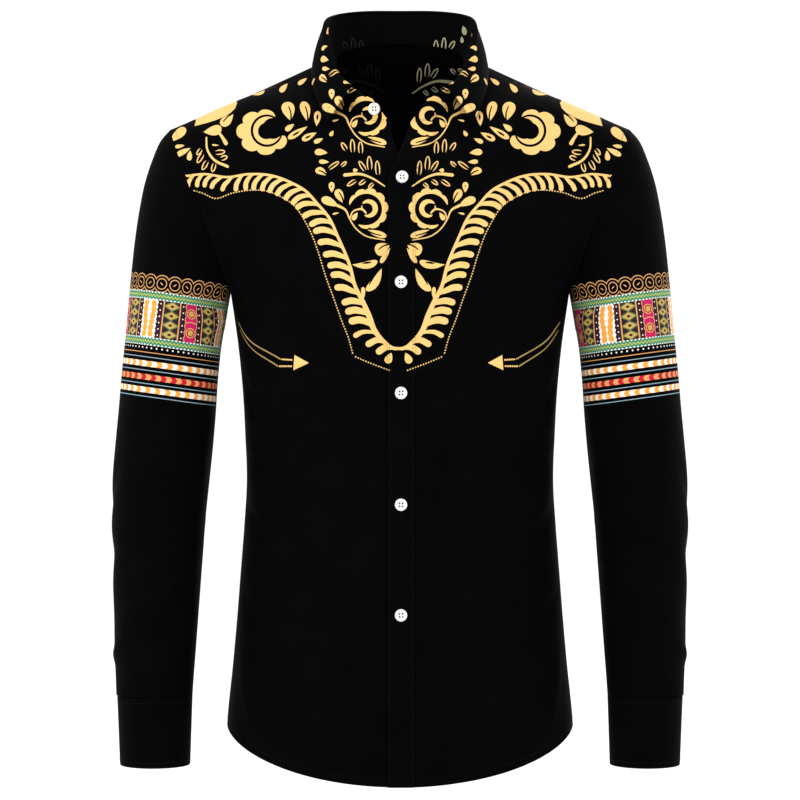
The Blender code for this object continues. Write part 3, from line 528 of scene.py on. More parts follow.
# %% All grids of body and sleeve, creased
def creased_body():
    """Each sheet's smooth grid for the print, its creased grid and its normals."""
    back = back_grid()
    back_out = panel_normals(back)
    sleeve, drop = sleeve_grid()
    sleeve_out = -normals_of(sleeve, True)
    sleeve_out[0, 0] = (-1.0, 0.0, 0.0)
    sleeve_out[-1, :, 2] = 0.0
    sleeve_out = unit(sleeve_out)
    fronts = {label: front_grid(label) for label in FRONT_EDGES}
    outs = {label: panel_normals(grid) for label, grid in fronts.items()}
    body_rim, sleeve_rim = armhole_normals(outs["left"], back_out, sleeve_out[0])
    sleeve_out[0] = sleeve_rim
    for step in range(1, ARM_STEPS + 1):
        for out in outs.values():
            out[BODY_STEPS + step, -1] = body_rim[step]
        back_out[BODY_STEPS + step, -1] = body_rim[2 * ARM_STEPS - step]
    sheets = {}
    for label, grid in fronts.items():
        out = outs[label]
        if label == "left":
            grid = grid + out * lap_lift(grid)[..., None]
        grid[:BODY_STEPS + 1, -1, 1] = -SEAM / 2
        u = girth(grid)
        height = relief(u, grid[..., 2], FRONT_FOLDS) * ease((FOLD_TOP_Z - grid[..., 2]) / FOLD_FADE)
        height += relief(u, grid[..., 2], FRONT_CREASES)
        height *= ease((u - 2 * OVERLAP) / CLOSURE_FADE) * edge_fade(grid, CREASE_FADE)
        creased = grid + out * height[..., None]
        if label == "right":
            grid, creased, out = flip(grid), flip(creased), flip(out)
        sheets["front_" + label] = (grid, creased, out)
    back[:BODY_STEPS + 1, -1, 1] = SEAM / 2
    u = girth(back)
    height = relief(u, back[..., 2], BACK_FOLDS) * ease((FOLD_TOP_Z - back[..., 2]) / FOLD_FADE)
    height += relief(u, back[..., 2], BACK_CREASES)
    height *= ease(u / CENTRE_BACK_FADE) * edge_fade(back, CREASE_FADE)
    sheets["back"] = (back, back + back_out * height[..., None], back_out)
    turn = np.array([around(180.0 * step / ARM_STEPS) for step in range(2 * ARM_STEPS)])
    turn, fall = np.broadcast_arrays(turn[None, :], drop[:, None])
    bent = [(around(a), b, around(c), d, w, r) for a, b, c, d, w, r in SLEEVE_FOLDS + SLEEVE_CREASES]
    height = relief(turn, fall, bent) * ease(fall / SLEEVE_FADE)
    height *= ease((fall.max() - fall) / CUFF_FADE)
    sheets["sleeve"] = (sleeve, sleeve + sleeve_out * height[..., None], sleeve_out)
    return sheets


SHEETS = creased_body()
print("grids:", {name: grids[0].shape[:2] for name, grids in SHEETS.items()})


# %% [markdown]
# ## Collar and cuffs
# The stand rises from the neck seam. The leaf turns over its top in a half circle
# and falls outside. A cuff is a band whose end laps over its start.

# %% Grids of the collar
def whole_round(half):
    """Half rows from front to centre back, and their mirror back to the front."""
    return np.concatenate([half, flip(half[:, :-1])[:, ::-1]], axis=1)


def collar_grids():
    front = [NECK_POINT * k / FRONT_NECK_STEPS for k in range(FRONT_NECK_STEPS)]
    back = [1 - (1 - NECK_POINT) * k / BACK_NECK_STEPS for k in range(BACK_NECK_STEPS, -1, -1)]
    shares = front + back
    seam = np.array([at(NECK_SEAM, s) for s in shares])
    top = np.array([at(STAND_TOP, s) for s in shares])
    rise = unit(top - seam)
    bottom = seam + rise * SEAM
    levels = np.linspace(0.0, 1.0, STAND_ROWS + 1)
    stand = np.array([bottom + (top - bottom) * level for level in levels])
    stand = whole_round(stand)
    stand_out = normals_of(stand, False)
    first = next(k for k, s in enumerate(shares) if s >= LEAF_START)
    up = rise[first:]
    out = stand_out[-1, first:len(shares)]
    out = unit(out - up * np.sum(out * up, axis=1, keepdims=True))
    edge = np.array([at(LEAF_EDGE, s) for s in shares[first:]])
    centre = top[first:] + out * (LEAF_ROLL - COLLAR_CLOTH) + up * LEAF_GAP
    rows, ways = [], []
    for step in range(ROLL_STEPS + 1):
        angle = math.pi * (1 - step / ROLL_STEPS)
        ways.append(out * math.cos(angle) + up * math.sin(angle))
        rows.append(centre + ways[-1] * LEAF_ROLL)
    last = rows[-1]
    for step in range(1, FALL_STEPS + 1):
        share = step / FALL_STEPS
        swell = out * LEAF_SWELL * math.sin(math.pi * share)
        rows.append(last + (edge - last) * share + swell)
    half = np.array(rows)
    half[:, -1, 0] = 0.0
    leaf = whole_round(half)
    leaf_out = -normals_of(leaf, False)
    leaf_out[:ROLL_STEPS] = whole_round(np.array(ways[:ROLL_STEPS]))
    return {"collar_stand": (stand, stand, stand_out), "collar_leaf": (leaf, leaf, leaf_out)}


# %% Grids of a cuff and of the strips
def cuff_point(angle, share, out):
    """Point of the cuff's outer face, moved out, and its outward direction."""
    outer_x = CUFF_OUTER[0] + (CUFF_OUTER[1] - CUFF_OUTER[0]) * share
    inner_x = CUFF_INNER[0] + (CUFF_INNER[1] - CUFF_INNER[0]) * share
    centre_y = CUFF_CENTRE_Y[0] + (CUFF_CENTRE_Y[1] - CUFF_CENTRE_Y[0]) * share
    half_depth = CUFF_HALF_DEPTH[0] + (CUFF_HALF_DEPTH[1] - CUFF_HALF_DEPTH[0]) * share
    z = -(CUFF_DROP[0] + (CUFF_DROP[1] - CUFF_DROP[0]) * share)
    half_width = (outer_x - inner_x) / 2
    out_way = unit(np.array([-math.cos(angle) / half_width, -math.sin(angle) / half_depth, 0.0]))
    x = inner_x + half_width * (1 - math.cos(angle))
    point = np.array([x, centre_y - half_depth * swing_of(angle), z])
    return point + out_way * out, out_way


def cuff_grid():
    start = math.radians(CUFF_LAP_ANGLE - CUFF_LAP)
    whole = 2 * math.pi + math.radians(CUFF_LAP)
    ramp = math.radians(CUFF_LAP_RAMP)
    ramp_start = 2 * math.pi - 1.2 * ramp
    grid, out = [], []
    for share in np.linspace(0.0, 1.0, CUFF_ROWS + 1):
        made = []
        for step in range(CUFF_STEPS + 1):
            travel = whole * step / CUFF_STEPS
            lap = (CUFF_CLOTH + SEAM) * float(ease((travel - ramp_start) / ramp))
            made.append(cuff_point(start + travel, share, lap))
        grid.append([point for point, way in made])
        out.append([way for point, way in made])
    grid, out = np.array(grid), np.array(out)
    return grid, grid, out


def strip_grid(source, rows, columns):
    """A folded strip lying on another piece: its outer face is its thickness above."""
    smooth_grid, creased, out = source
    part = (slice(*rows), slice(*columns))
    lift = out[part] * (SEAM + BAND_CLOTH)
    return smooth_grid[part] + lift, creased[part] + lift, out[part]


band_rows = BODY_STEPS + ARM_STEPS - FRONT_NECK_STEPS + 1
strip_column = round(2 * ARM_STEPS * CUFF_LAP_ANGLE / 360.0)
strip_first_row = round(SLEEVE_ROWS * STRIP_START)
SHEETS.update(collar_grids())
SHEETS["cuff"] = cuff_grid()
SHEETS["placket_band"] = strip_grid(SHEETS["front_left"], (0, band_rows), (0, STRIP_STEPS + 1))
SHEETS["sleeve_strip"] = strip_grid(SHEETS["sleeve"], (strip_first_row, None),
                                    tuple(strip_column + step for step in STRIP_SPAN))
print("collar leaf:", SHEETS["collar_leaf"][0].shape[:2])


# %% [markdown]
# ## Drawing a print
# A printed motif is an outline in the flat. Leaves, drops, loops, crescents and
# strokes are enough for a floral print, each with a few sizes in millimetres. The
# print is laid out on one half as it is seen from the front, and mirrored.

# %% Outlines of the motifs
def petal(round_end, sharp_end, width, bend=0.0, sharp=1.0, steps=9):
    """A drop: the first end is round, the second comes to a point."""
    start = np.array(round_end, float)
    way = np.array(sharp_end, float) - start
    side = np.array([-way[1], way[0]]) / math.hypot(*way)
    t = (1 - np.cos(np.linspace(0.0, math.pi, steps + 1))) / 2
    widest = 0.5 / (0.5 + sharp)
    peak = widest ** 0.5 * (1 - widest) ** sharp
    half = width / 2 * t ** 0.5 * (1 - t) ** sharp / peak
    middle = start + way * t[:, None] + side * (4 * bend * t * (1 - t))[:, None]
    spread = side * half[:, None]
    return np.vstack([middle + spread, (middle - spread)[-2:0:-1]])


def stroke(points, widths, steps=12):
    """A brush stroke along a line, with its widths spread over it and round ends."""
    line = curve(points, steps)
    way = unit(np.gradient(line, axis=0))
    side = np.stack([-way[:, 1], way[:, 0]], axis=1)
    half = np.interp(np.linspace(0, 1, steps + 1), np.linspace(0, 1, len(widths)), widths) / 2
    turns = np.radians([45.0, 0.0, -45.0])
    caps = [[line[end] + half[end] * sign * (way[end] * math.cos(a) + side[end] * math.sin(a)) for a in turns]
            for end, sign in ((-1, 1.0), (0, -1.0))]
    left, right = line + side * half[:, None], line - side * half[:, None]
    return np.vstack([left, caps[0], right[::-1], caps[1]])


def crescent(centre, radii, start, end, lobes=0, notch=0.0, taper=0.4, steps=40, stretch=(1.0, 1.0)):
    """A curved band, thin at its ends, with notches between the lobes of its outer edge."""
    t = np.linspace(0.0, 1.0, steps + 1)
    angle = np.radians(start + (end - start) * t)
    body = np.sin(math.pi * np.clip(t, 0.004, 0.996)) ** taper
    wave = notch * (1 - np.abs(np.sin(lobes * math.pi * t))) ** 1.5
    middle = (radii[0] + radii[1]) / 2
    outer = middle + (radii[1] - middle - wave) * body
    inner = middle - (middle - radii[0]) * body
    ring = np.stack([np.cos(angle), np.sin(angle)], axis=1)
    return np.vstack([centre + ring * outer[:, None] * stretch, (centre + ring * inner[:, None])[::-1]])


def disc(centre, radius, sides=20, star=0.0):
    angle = np.linspace(0.0, 2 * math.pi, sides, endpoint=False)
    reach = radius * (1 - star * (np.arange(sides) % 2))
    return np.array(centre) + np.stack([np.cos(angle), np.sin(angle)], axis=1) * reach[:, None]


# %% The feather border and its dashed line
# Sizes are (x, z) in mm on the half to the viewer's left
SPINE = ((-213.5, -109), (-194, -107), (-171.4, -110), (-150, -107), (-124, -109), (-108, -115),
         (-92, -124), (-80, -137), (-69, -150), (-59, -171), (-47, -200), (-41.5, -220),
         (-34, -234), (-27.4, -248), (-21, -264.5), (-13.4, -274), (-3.6, -281), (1, -281))
SPINE_WIDTHS = (2.2, 2.2, 2.4, 2.6, 2.8, 2.8, 3.6, 5.8, 3.0)
# Columns: place along the spine, pitch, reach outwards, width
FEATHERS = ((0.0, 9.2, 12.5, 4.0), (50.0, 10.4, 15.5, 4.5), (110.0, 11.0, 19.0, 5.0),
            (160.0, 12.0, 21.5, 5.6), (195.0, 13.6, 22.5, 6.2), (240.0, 11.8, 23.0, 6.4),
            (262.0, 12.0, 21.6, 6.6), (286.0, 12.4, 24.0, 7.2))
FIRST_FEATHER = 14.0
LAST_FEATHER = 294.0
SPINE_STEPS = 200
# The short feathers at the foot: line, then widths along it
FOOT_FEATHERS = ((((-22, -267.5), (-29, -265.8), (-36.5, -266.2), (-43, -269.4)), (2.0, 3.4, 4.4, 5.2)),
                 (((-14.8, -276.2), (-21.5, -274.2), (-30, -278.0)), (2.4, 6.0, 6.4)),
                 (((-5, -282.0), (-13, -281.4), (-19.5, -285.4)), (3.0, 6.4, 6.8)))
FEATHER_LEAN = 0.92
FEATHER_LINE = ((0.0, 0.04), (0.42, 0.13), (0.74, 0.42), (0.93, 0.7), (1.0, 1.0))
FEATHER_TAPER = (0.12, 0.4, 0.8, 0.98, 1.0)
DASHED = ((-207, -124), (-195, -127.5), (-184.2, -132.4), (-166, -127), (-150, -124.3),
          (-132, -125), (-119, -130), (-105, -139), (-92, -158), (-87, -168), (-80, -187),
          (-73, -210), (-65, -232), (-57, -255), (-50.6, -271.5), (-45.7, -290))
DASHED_TAIL = ((-45.7, -290), (-30, -296.5), (-18, -301), (-7, -305))
DASH = (1.5, 1.15, 2.8)


def dashes(line, size):
    """Small oblong marks along a line: length, width and pitch."""
    length, width, pitch = size
    run = run_of(line)
    made = []
    for middle in np.arange(pitch, run[-1] - pitch / 2, pitch):
        ends = [[np.interp(middle + shift, run, column) for column in line.T]
                for shift in (-length / 2, length / 2)]
        a, b = np.array(ends)
        side = unit(np.array([a[1] - b[1], b[0] - a[0]])) * width / 2
        made.append(np.array([a - side, b - side, b + side, a + side]))
    return made


def feather_border():
    shapes = []
    spine = curve(SPINE, SPINE_STEPS)
    run = run_of(spine)
    way = unit(np.gradient(spine, axis=0))
    outward = np.stack([way[:, 1], -way[:, 0]], axis=1)

    def place(distance):
        point = np.array([np.interp(distance, run, column) for column in spine.T])
        return point, unit(np.array([np.interp(distance, run, column) for column in outward.T]))

    table = np.array(FEATHERS)
    start = FIRST_FEATHER
    while start < LAST_FEATHER:
        pitch, reach, width = (np.interp(start, table[:, 0], table[:, k]) for k in (1, 2, 3))
        line = []
        for back, out in FEATHER_LINE:
            spot, outwards = place(max(start - back * FEATHER_LEAN * reach, 0.0))
            line.append(spot + outwards * out * (reach - width / 2))
        shapes.append((stroke(line, np.array(FEATHER_TAPER) * width, 12), "gold"))
        start += pitch
    steps = np.linspace(0, 1, SPINE_STEPS + 1)
    width = np.interp(steps, np.linspace(0, 1, len(SPINE_WIDTHS)), SPINE_WIDTHS)
    band = np.vstack([spine, (spine + outward * width[:, None])[::-1]])
    shapes.append((band[::2], "gold"))
    shapes += [(stroke(line, widths, 12), "gold") for line, widths in FOOT_FEATHERS]
    shapes.append((petal((-11.8, -297.3), (-7.0, -286.8), 7.6), "gold"))
    for line in (DASHED, DASHED_TAIL):
        shapes += [(mark, "gold") for mark in dashes(curve(line, 120), DASH)]
    return shapes


# %% Tables of leaves, drops and loops
# Columns: round end, sharp end, width, bend, kind. A slit leaf has a dark cut.
FLOWER_LEAVES = (
    ((-112.5, -36), (-108, -54.5), 13, 0.6, "slit"), ((-95.5, -35.5), (-91, -55.5), 10, 0.6, "slit"),
    ((-113, -64.5), (-104.5, -58), 5.5, 0, "plain"), ((-110.5, -72.5), (-91, -60.5), 6.5, 0, "eyed"),
    ((-96.5, -74), (-82, -66.5), 6.5, 0, "eyed"),
)
COLUMN_LEAVES = (
    ((-80.5, -45), (-82, -60), 7, 0, "eyed"), ((-84.5, -76.5), (-75.5, -72.5), 4.6, 0, "plain"),
    ((-68.5, -70), (-65, -64.5), 4, 0, "plain"), ((-83.8, -86), (-71, -87), 6.5, 0.4, "plain"),
    ((-79.5, -95.5), (-69.5, -96), 4.4, 0, "plain"), ((-83, -103.5), (-71.5, -109.5), 7.4, 1.2, "slit"),
    ((-67, -116), (-66.7, -126.5), 6, 0, "dot"), ((-62, -123.5), (-55, -137), 8.4, 0, "slit"),
    ((-77, -132.5), (-60, -140.5), 8.4, 0.6, "plain"), ((-46, -154), (-41, -146.5), 5, 0, "plain"),
    ((-12, -170.5), (-32.5, -164), 6.4, 0, "slit"), ((-66, -148.2), (-59.5, -146.6), 2.0, 0, "plain"),
    ((-45.5, -104.5), (-40.5, -104.0), 4.0, 0, "plain"),
)
# Columns: foot, round top, width
COLUMN_LOOPS = (
    ((-20.4, -109.5), (-21.5, -94.5), 5.2), ((-28.5, -104.5), (-29.5, -90), 5.6),
    ((-33, -105), (-39.5, -95), 4.8), ((-57.5, -100.5), (-52, -95.5), 3.8),
    ((-70, -103), (-59.5, -95.5), 4.4), ((-42.5, -114.0), (-51.5, -120), 4.4),
    ((-33.0, -114.0), (-39.5, -118.8), 4.2), ((-25, -117.0), (-30, -122), 3.8),
    ((-52, -84.5), (-57, -76.5), 4.8), ((-45.6, -87), (-46.4, -73), 5.2),
    ((-37.7, -88), (-38.2, -75.5), 5.2),
)
SHOULDER_LEAVES = (
    ((-163, -32), (-204, -60), 24, -3, "plain"), ((-213, -62), (-229, -76), 9, 0, "plain"),
    ((-135, -21), (-146, -29), 10, 0, "plain"), ((-177, -62), (-195, -66), 10, 1, "plain"),
    ((-177.5, -59.3), (-165.2, -47.4), 9.5, -0.6, "slit"),
    ((-186.5, -78.8), (-179.5, -79.4), 1.8, 0, "plain"),
    ((-223.5, -81), (-214, -79.3), 3.8, 0, "plain"), ((-222.5, -89.5), (-208, -82), 5.6, 0, "plain"),
    ((-209.5, -94.5), (-208.3, -84.5), 5.2, 0, "plain"), ((-150.5, -22.5), (-143, -14), 6.5, 0, "plain"),
    ((-118.5, -26), (-111, -17.5), 5.6, 0, "plain"), ((-100.5, -18.5), (-91.5, -12), 4.4, 0, "plain"),
)
SHOULDER_LOOPS = (
    ((-183.5, -86.7), (-173.3, -85.6), 5.4), ((-178, -93.2), (-171, -90.3), 5.0),
    ((-197, -82.8), (-201.7, -89), 4.6), ((-195.5, -87.5), (-201.3, -97), 5.0),
    ((-191, -94.5), (-196.3, -104), 5.0), ((-183.8, -97), (-186.3, -106), 4.8),
)
LOWER_LEAVES = (
    ((-22.5, -187), (-8.8, -178.5), 12.5, 0.8, "slit"), ((-18, -197), (-8.3, -182), 5, 0, "plain"),
    ((-21, -195.5), (-46.5, -198.5), 7.6, 2.4, "eyed"), ((-32, -225), (-17, -201.5), 8.6, -2.6, "slit"),
    ((-35.5, -221), (-35, -233), 4.2, 0, "plain"),
)


def leaf_shapes(rows):
    shapes = []
    for round_end, sharp_end, width, bend, kind in rows:
        shapes.append((petal(round_end, sharp_end, width, bend), "gold"))
        start, way = np.array(round_end, float), np.subtract(sharp_end, round_end)
        side = np.array([-way[1], way[0]]) / math.hypot(*way)
        if kind == "slit":
            line = [start + way * t + side * width * shift
                    for t, shift in ((0.26, 0.12), (0.62, 0.17), (1.02, 0.02))]
            shapes.append((stroke(line, (1.1, 1.5, 1.7), 5), "black"))
        if kind == "eyed":
            line = [start + way * t for t in (0.27, 0.6)]
            shapes.append((stroke(line, (1.5, 2.2, 0.7), 4), "black"))
        if kind == "dot":
            shapes.append((disc(start + way * 0.4, 0.8, 8), "black"))
    return shapes


def loop_shapes(rows):
    """Outlined petals: gold, with a dark petal inside that opens at the foot."""
    shapes = []
    for foot, top, width in rows:
        foot, top = np.array(foot, float), np.array(top, float)
        way = unit(foot - top)
        shapes.append((petal(top, foot, width, 0, 0.42), "gold"))
        shapes.append((petal(top + way * 1.15, foot + way * 1.2, width - 2.3, 0, 0.36), "black"))
    return shapes


# %% Groups of motifs
def fern_group():
    fern = ((-53.7, -109), (-38, -108.1), (-24, -113.5), (-14, -120.1))
    return loop_shapes(COLUMN_LOOPS) + [(stroke(fern, (3.4, 2.6, 1.8, 1.3), 14), "gold")]


def column_group():
    """The fern, the rosette and the small leaves beside the neck."""
    shapes = leaf_shapes(COLUMN_LEAVES) + fern_group()
    stem = ((-61, -139.5), (-52.8, -144.1), (-49.5, -151.5), (-43, -162), (-34.3, -169.1), (-14, -174.1))
    shapes.append((stroke(stem, (2.8, 1.6, 1.3, 1.2, 1.2, 1.0), 22), "gold"))
    shapes.append((crescent((-31.5, -143), (15.0, 21.3), -118, 166, 8, 2.5, 0.4, 72), "gold"))
    shapes.append((crescent((-30.5, -142.6), (4.8, 9.9), -118, 138, 0, 0.0, 0.5, 22), "gold"))
    hook = ((-48.2, -151.5), (-46.0, -146), (-41.5, -143.6), (-36.4, -143.2), (-32.6, -146.8))
    shapes.append((stroke(hook, (1.2, 1.4, 1.6, 2.0, 1.8), 12), "gold"))
    shapes.append((stroke(((-36.8, -143.4), (-36.6, -139.9)), (1.8, 0.9), 3), "gold"))
    return shapes


def moved(shapes, rise):
    return [(outline + np.array([0.0, rise]), ink) for outline, ink in shapes]


def shoulder_group():
    shapes = leaf_shapes(SHOULDER_LEAVES) + loop_shapes(SHOULDER_LOOPS)
    shapes.append((stroke(((-179.4, -66.8), (-176, -71.5), (-172.6, -77.3)), (2.4, 3.0, 4.0), 5), "gold"))
    arc = ((-192.1, -71.5), (-191.4, -82.9), (-184.7, -93.6), (-171, -100.5))
    shapes.append((stroke(arc, (1.6, 2.0, 2.4, 2.8), 12), "gold"))
    return shapes


def big_flower():
    return [
        (crescent((-133.5, -65.5), (7.0, 26.5), 60, 345, 6, 4.4, 0.2, 90, (1.08, 0.9)), "gold"),
        (crescent((-131.5, -64.6), (13.8, 16.4), 48, 350, 0, 0.0, 0.2, 44), "black"),
        (disc((-125.6, -62.4), 10.6, 28), "black"),
    ] + leaf_shapes(FLOWER_LEAVES)


ARROW_UPPER = ((-162, -256), (-147, -275), (-117, -293))
ARROW_LOWER = ((-160, -264), (-146, -282), (-119, -300))
ARROW_BEADS = (((-117, -293), (-104, -294)), ((-119, -300), (-105, -300)))
ARROW_HEAD = ((-104, -289), (-90, -297), (-104, -304))


def arrow():
    """Two thin lines that end in beads and an arrow head."""
    shapes = []
    for line in (ARROW_UPPER, ARROW_LOWER):
        shapes.append((stroke(line, (0.7, 0.9, 1.1, 1.2), 26), "faded_gold"))
    for line in ARROW_BEADS:
        shapes += [(mark, "gold") for mark in dashes(curve(line, 20), (1.7, 1.5, 2.1))]
    shapes.append((np.array(ARROW_HEAD), "gold"))
    return shapes


PRINT_CENTRE = -1.5
COLUMN_REPEAT = 93.0
column = column_group()
half_print = (feather_border() + column + moved(column, COLUMN_REPEAT) + moved(column, 2 * COLUMN_REPEAT)
              + big_flower() + shoulder_group() + leaf_shapes(LOWER_LEAVES) + arrow())


def laid_out(shapes, mirrored):
    """Shapes at their place on the shirt, on one half of it."""
    sign = -1.0 if mirrored else 1.0
    return [(outline * np.array([sign, 1.0]) + np.array([PRINT_CENTRE, 0.0]), ink)
            for outline, ink in shapes]


front_print = laid_out(half_print, False) + laid_out(half_print, True)
print("motifs on the front:", len(front_print))


# %% [markdown]
# ## Laying the print on the cloth
# An image would blur close up, so each motif is cut into the mesh. Every sheet is
# a lattice of columns and rows. A motif is carried from the flat print to that
# lattice, a constrained Delaunay triangulation joins both, and each triangle
# takes the ink of the topmost motif over it. The points are then moved onto the
# creased cloth, so creases never bend the layout of the print.

# %% From the print to the lattice
VIEW_DISTANCE = 3000.0
VIEW_HEIGHT = -334.0
LEAST_STEP = 0.5
RING = 22


def as_seen(grid):
    """Print coordinates of a sheet: its view from the front, let out where it turns away."""
    share = VIEW_DISTANCE / (VIEW_DISTANCE + grid[..., 1])
    seen_x = grid[..., 0] * share
    seen_z = VIEW_HEIGHT + (grid[..., 2] - VIEW_HEIGHT) * share
    step = np.diff(seen_x, axis=1)
    level = np.hypot(np.diff(grid[..., 0], axis=1), np.diff(grid[..., 1], axis=1))
    sign = math.copysign(1.0, step[len(step) // 2, 0])
    step = sign * np.maximum(step * sign, LEAST_STEP * level)
    x = np.concatenate([seen_x[:, :1], seen_x[:, :1] + np.cumsum(step, axis=1)], axis=1)
    return np.stack([x, seen_z], axis=2)


def finder(places, first_row=0, first_column=0):
    """A function from a print point to its column and row on the lattice."""
    rows, columns = places.shape[:2]
    around_edge = np.pad(places, ((1, 1), (1, 1), (0, 0)), mode="edge")
    around_edge[0] += RING * (around_edge[0] - around_edge[2])
    around_edge[-1] += RING * (around_edge[-1] - around_edge[-3])
    around_edge[:, 0] += RING * (around_edge[:, 0] - around_edge[:, 2])
    around_edge[:, -1] += RING * (around_edge[:, -1] - around_edge[:, -3])
    low = np.full((rows + 2, columns + 2), -1.0)
    low[1:-1, 1:-1] = 0.0
    i = np.concatenate([[-RING], np.arange(rows), [rows - 1 + RING]]) + first_row
    j = np.concatenate([[-RING], np.arange(columns), [columns - 1 + RING]]) + first_column
    lattice = [Vector((a, b, 0.0)) for b in i for a in j]
    flat = np.concatenate([around_edge, low[..., None]], axis=2).reshape(-1, 3)
    points = [Vector(point) for point in flat]
    wide = columns + 2
    cells = []
    for b in range(rows + 1):
        for a in range(columns + 1):
            k = b * wide + a
            cells += [(k, k + 1, k + wide + 1), (k, k + wide + 1, k + wide)]
    tree = BVHTree.FromPolygons(points, cells)

    def find(point):
        found, _, index, _ = tree.ray_cast(Vector((point[0], point[1], 5.0)), Vector((0, 0, -1)))
        if index is None:
            found, _, index, _ = tree.find_nearest(Vector((point[0], point[1], 0.0)))
        corners = cells[index]
        level = [Vector((points[k].x, points[k].y, 0.0)) for k in corners]
        spot = barycentric_transform(Vector((found.x, found.y, 0.0)), *level,
                                     *[lattice[k] for k in corners])
        return spot.x, spot.y

    return find


# %% Cutting outlines to the sheet
LONGEST_SIDE = 3.0


def fine_outline(outline):
    """The outline with no side longer than the longest allowed."""
    made = []
    for a, b in zip(outline, np.roll(outline, -1, axis=0)):
        steps = max(1, math.ceil(math.hypot(*(b - a)) / LONGEST_SIDE))
        made += [a + (b - a) * k / steps for k in range(steps)]
    return np.array(made)


def clipped(places, columns, rows):
    """Part of an outline inside the lattice, side by side of its four edges."""
    for axis, bound, sign in ((0, 0.0, 1), (0, columns, -1), (1, 0.0, 1), (1, rows, -1)):
        kept = []
        for a, b in zip(places, places[1:] + places[:1]):
            inside_a, inside_b = (a[axis] - bound) * sign >= 0, (b[axis] - bound) * sign >= 0
            if inside_a:
                kept.append(a)
            if inside_a != inside_b:
                t = (bound - a[axis]) / (b[axis] - a[axis])
                cut = [a[0] + (b[0] - a[0]) * t, a[1] + (b[1] - a[1]) * t]
                cut[axis] = bound
                kept.append(tuple(cut))
        places = kept
        if not places:
            return []
    return places


def covered(middles, outline):
    """Which points lie inside an outline: those with an odd number of sides above them."""
    low, high = outline.min(axis=0), outline.max(axis=0)
    near_by = np.nonzero(((middles > low) & (middles < high)).all(axis=1))[0]
    x, y = middles[near_by, :1], middles[near_by, 1:]
    ax, ay = outline.T
    bx, by = np.roll(outline, -1, axis=0).T
    spans = (ax <= x) != (bx <= x)
    slope = (by - ay) / np.where(bx == ax, 1.0, bx - ax)
    above = spans & (ay + (x - ax) * slope > y)
    return near_by[above.sum(axis=1) % 2 == 1]


# %% Cutting all outlines into one lattice
def cut_lattice(rows, columns, prints, gap=None):
    """Corners, triangles and inks of a lattice with every outline cut into it.

    The cells between column gap and the next one are left open.
    """
    points = [(float(j), float(i)) for i in range(rows) for j in range(columns)]
    edges, outlines = [], []
    for shapes, find in prints:
        for outline, ink in shapes:
            places = [find(point) for point in fine_outline(outline)]
            places = clipped(places, columns - 1.0, rows - 1.0)
            if len(places) > 2:
                first, count = len(points), len(places)
                edges += [(first + k, first + (k + 1) % count) for k in range(count)]
                points += places
                outlines.append((np.array(places), ink))
    made = delaunay_2d_cdt([Vector(point) for point in points], edges, [], 0, 1e-5, False)
    corners = np.array([tuple(corner) for corner in made[0]])
    triangles = made[2]
    middles = corners[np.array(triangles)].mean(axis=1)
    if gap is not None:
        cloth = (middles[:, 0] < gap) | (middles[:, 0] > gap + 1)
        triangles = [triangle for triangle, kept in zip(triangles, cloth) if kept]
        middles = middles[cloth]
    owner = [None] * len(triangles)
    for outline, ink in outlines:
        for k in covered(middles, outline):
            owner[k] = ink
    return corners, triangles, owner


def sample(grid, places):
    """Values of a grid at columns and rows between its own."""
    rows, columns = grid.shape[:2]
    j = np.clip(places[:, 0], 0, columns - 1)
    i = np.clip(places[:, 1], 0, rows - 1)
    j0 = np.minimum(j.astype(int), columns - 2)
    i0 = np.minimum(i.astype(int), rows - 2)
    a, b = (j - j0)[:, None], (i - i0)[:, None]
    low = grid[i0, j0] * (1 - a) + grid[i0, j0 + 1] * a
    high = grid[i0 + 1, j0] * (1 - a) + grid[i0 + 1, j0 + 1] * a
    return low * (1 - b) + high * b


def flat_places(grid):
    """Where each lattice point lies on the flat cloth, in metres."""
    v = column_run(grid)
    v = np.broadcast_to(v.mean(axis=1, keepdims=True), v.shape)
    return np.stack([girth(grid), v], axis=2) * MM


# %% [markdown]
# ## Finishes
# The cloth is mercerised cotton poplin dyed a deep black: matt, with only a faint
# sheen where it curves away. The print is pigment ink bound to the surface. It
# hides the weave a little and is never quite even. Buttons are cast polyester.

# %% Node helpers
def linear(text):
    """A colour in sRGB hex as linear red, green, blue and alpha."""
    channels = [int(text[k:k + 2], 16) / 255 for k in (1, 3, 5)]
    return [c / 12.92 if c <= 0.04045 else ((c + 0.055) / 1.055) ** 2.4 for c in channels] + [1.0]


def add_node(tree, kind, values=None, **settings):
    """Add a node, set its properties, and set or link its inputs."""
    node = tree.nodes.new(kind)
    for name, value in settings.items():
        setattr(node, name, value)
    for socket, value in (values or {}).items():
        if isinstance(value, bpy.types.NodeSocket):
            tree.links.new(value, node.inputs[socket])
        else:
            node.inputs[socket].default_value = value
    return node


def new_material(name, values):
    """A material with a Principled shader whose own sockets hold the constants."""
    material = bpy.data.materials.new(name)
    material.use_nodes = True
    shader = material.node_tree.nodes["Principled BSDF"]
    for socket, value in values.items():
        shader.inputs[socket].default_value = value
    return material, material.node_tree, shader


def drifting_colour(tree, shader, shades, scale, detail):
    """Base colour that drifts softly between two shades, by the object's own places."""
    place = add_node(tree, "ShaderNodeTexCoord")
    noise = add_node(tree, "ShaderNodeTexNoise",
                     {"Vector": place.outputs["Object"], "Scale": scale, "Detail": detail})
    low, high = (linear(shade) for shade in shades)
    mixed = add_node(tree, "ShaderNodeMix", {0: noise.outputs["Fac"], 6: low, 7: high}, data_type="RGBA")
    tree.links.new(mixed.outputs[2], shader.inputs["Base Color"])


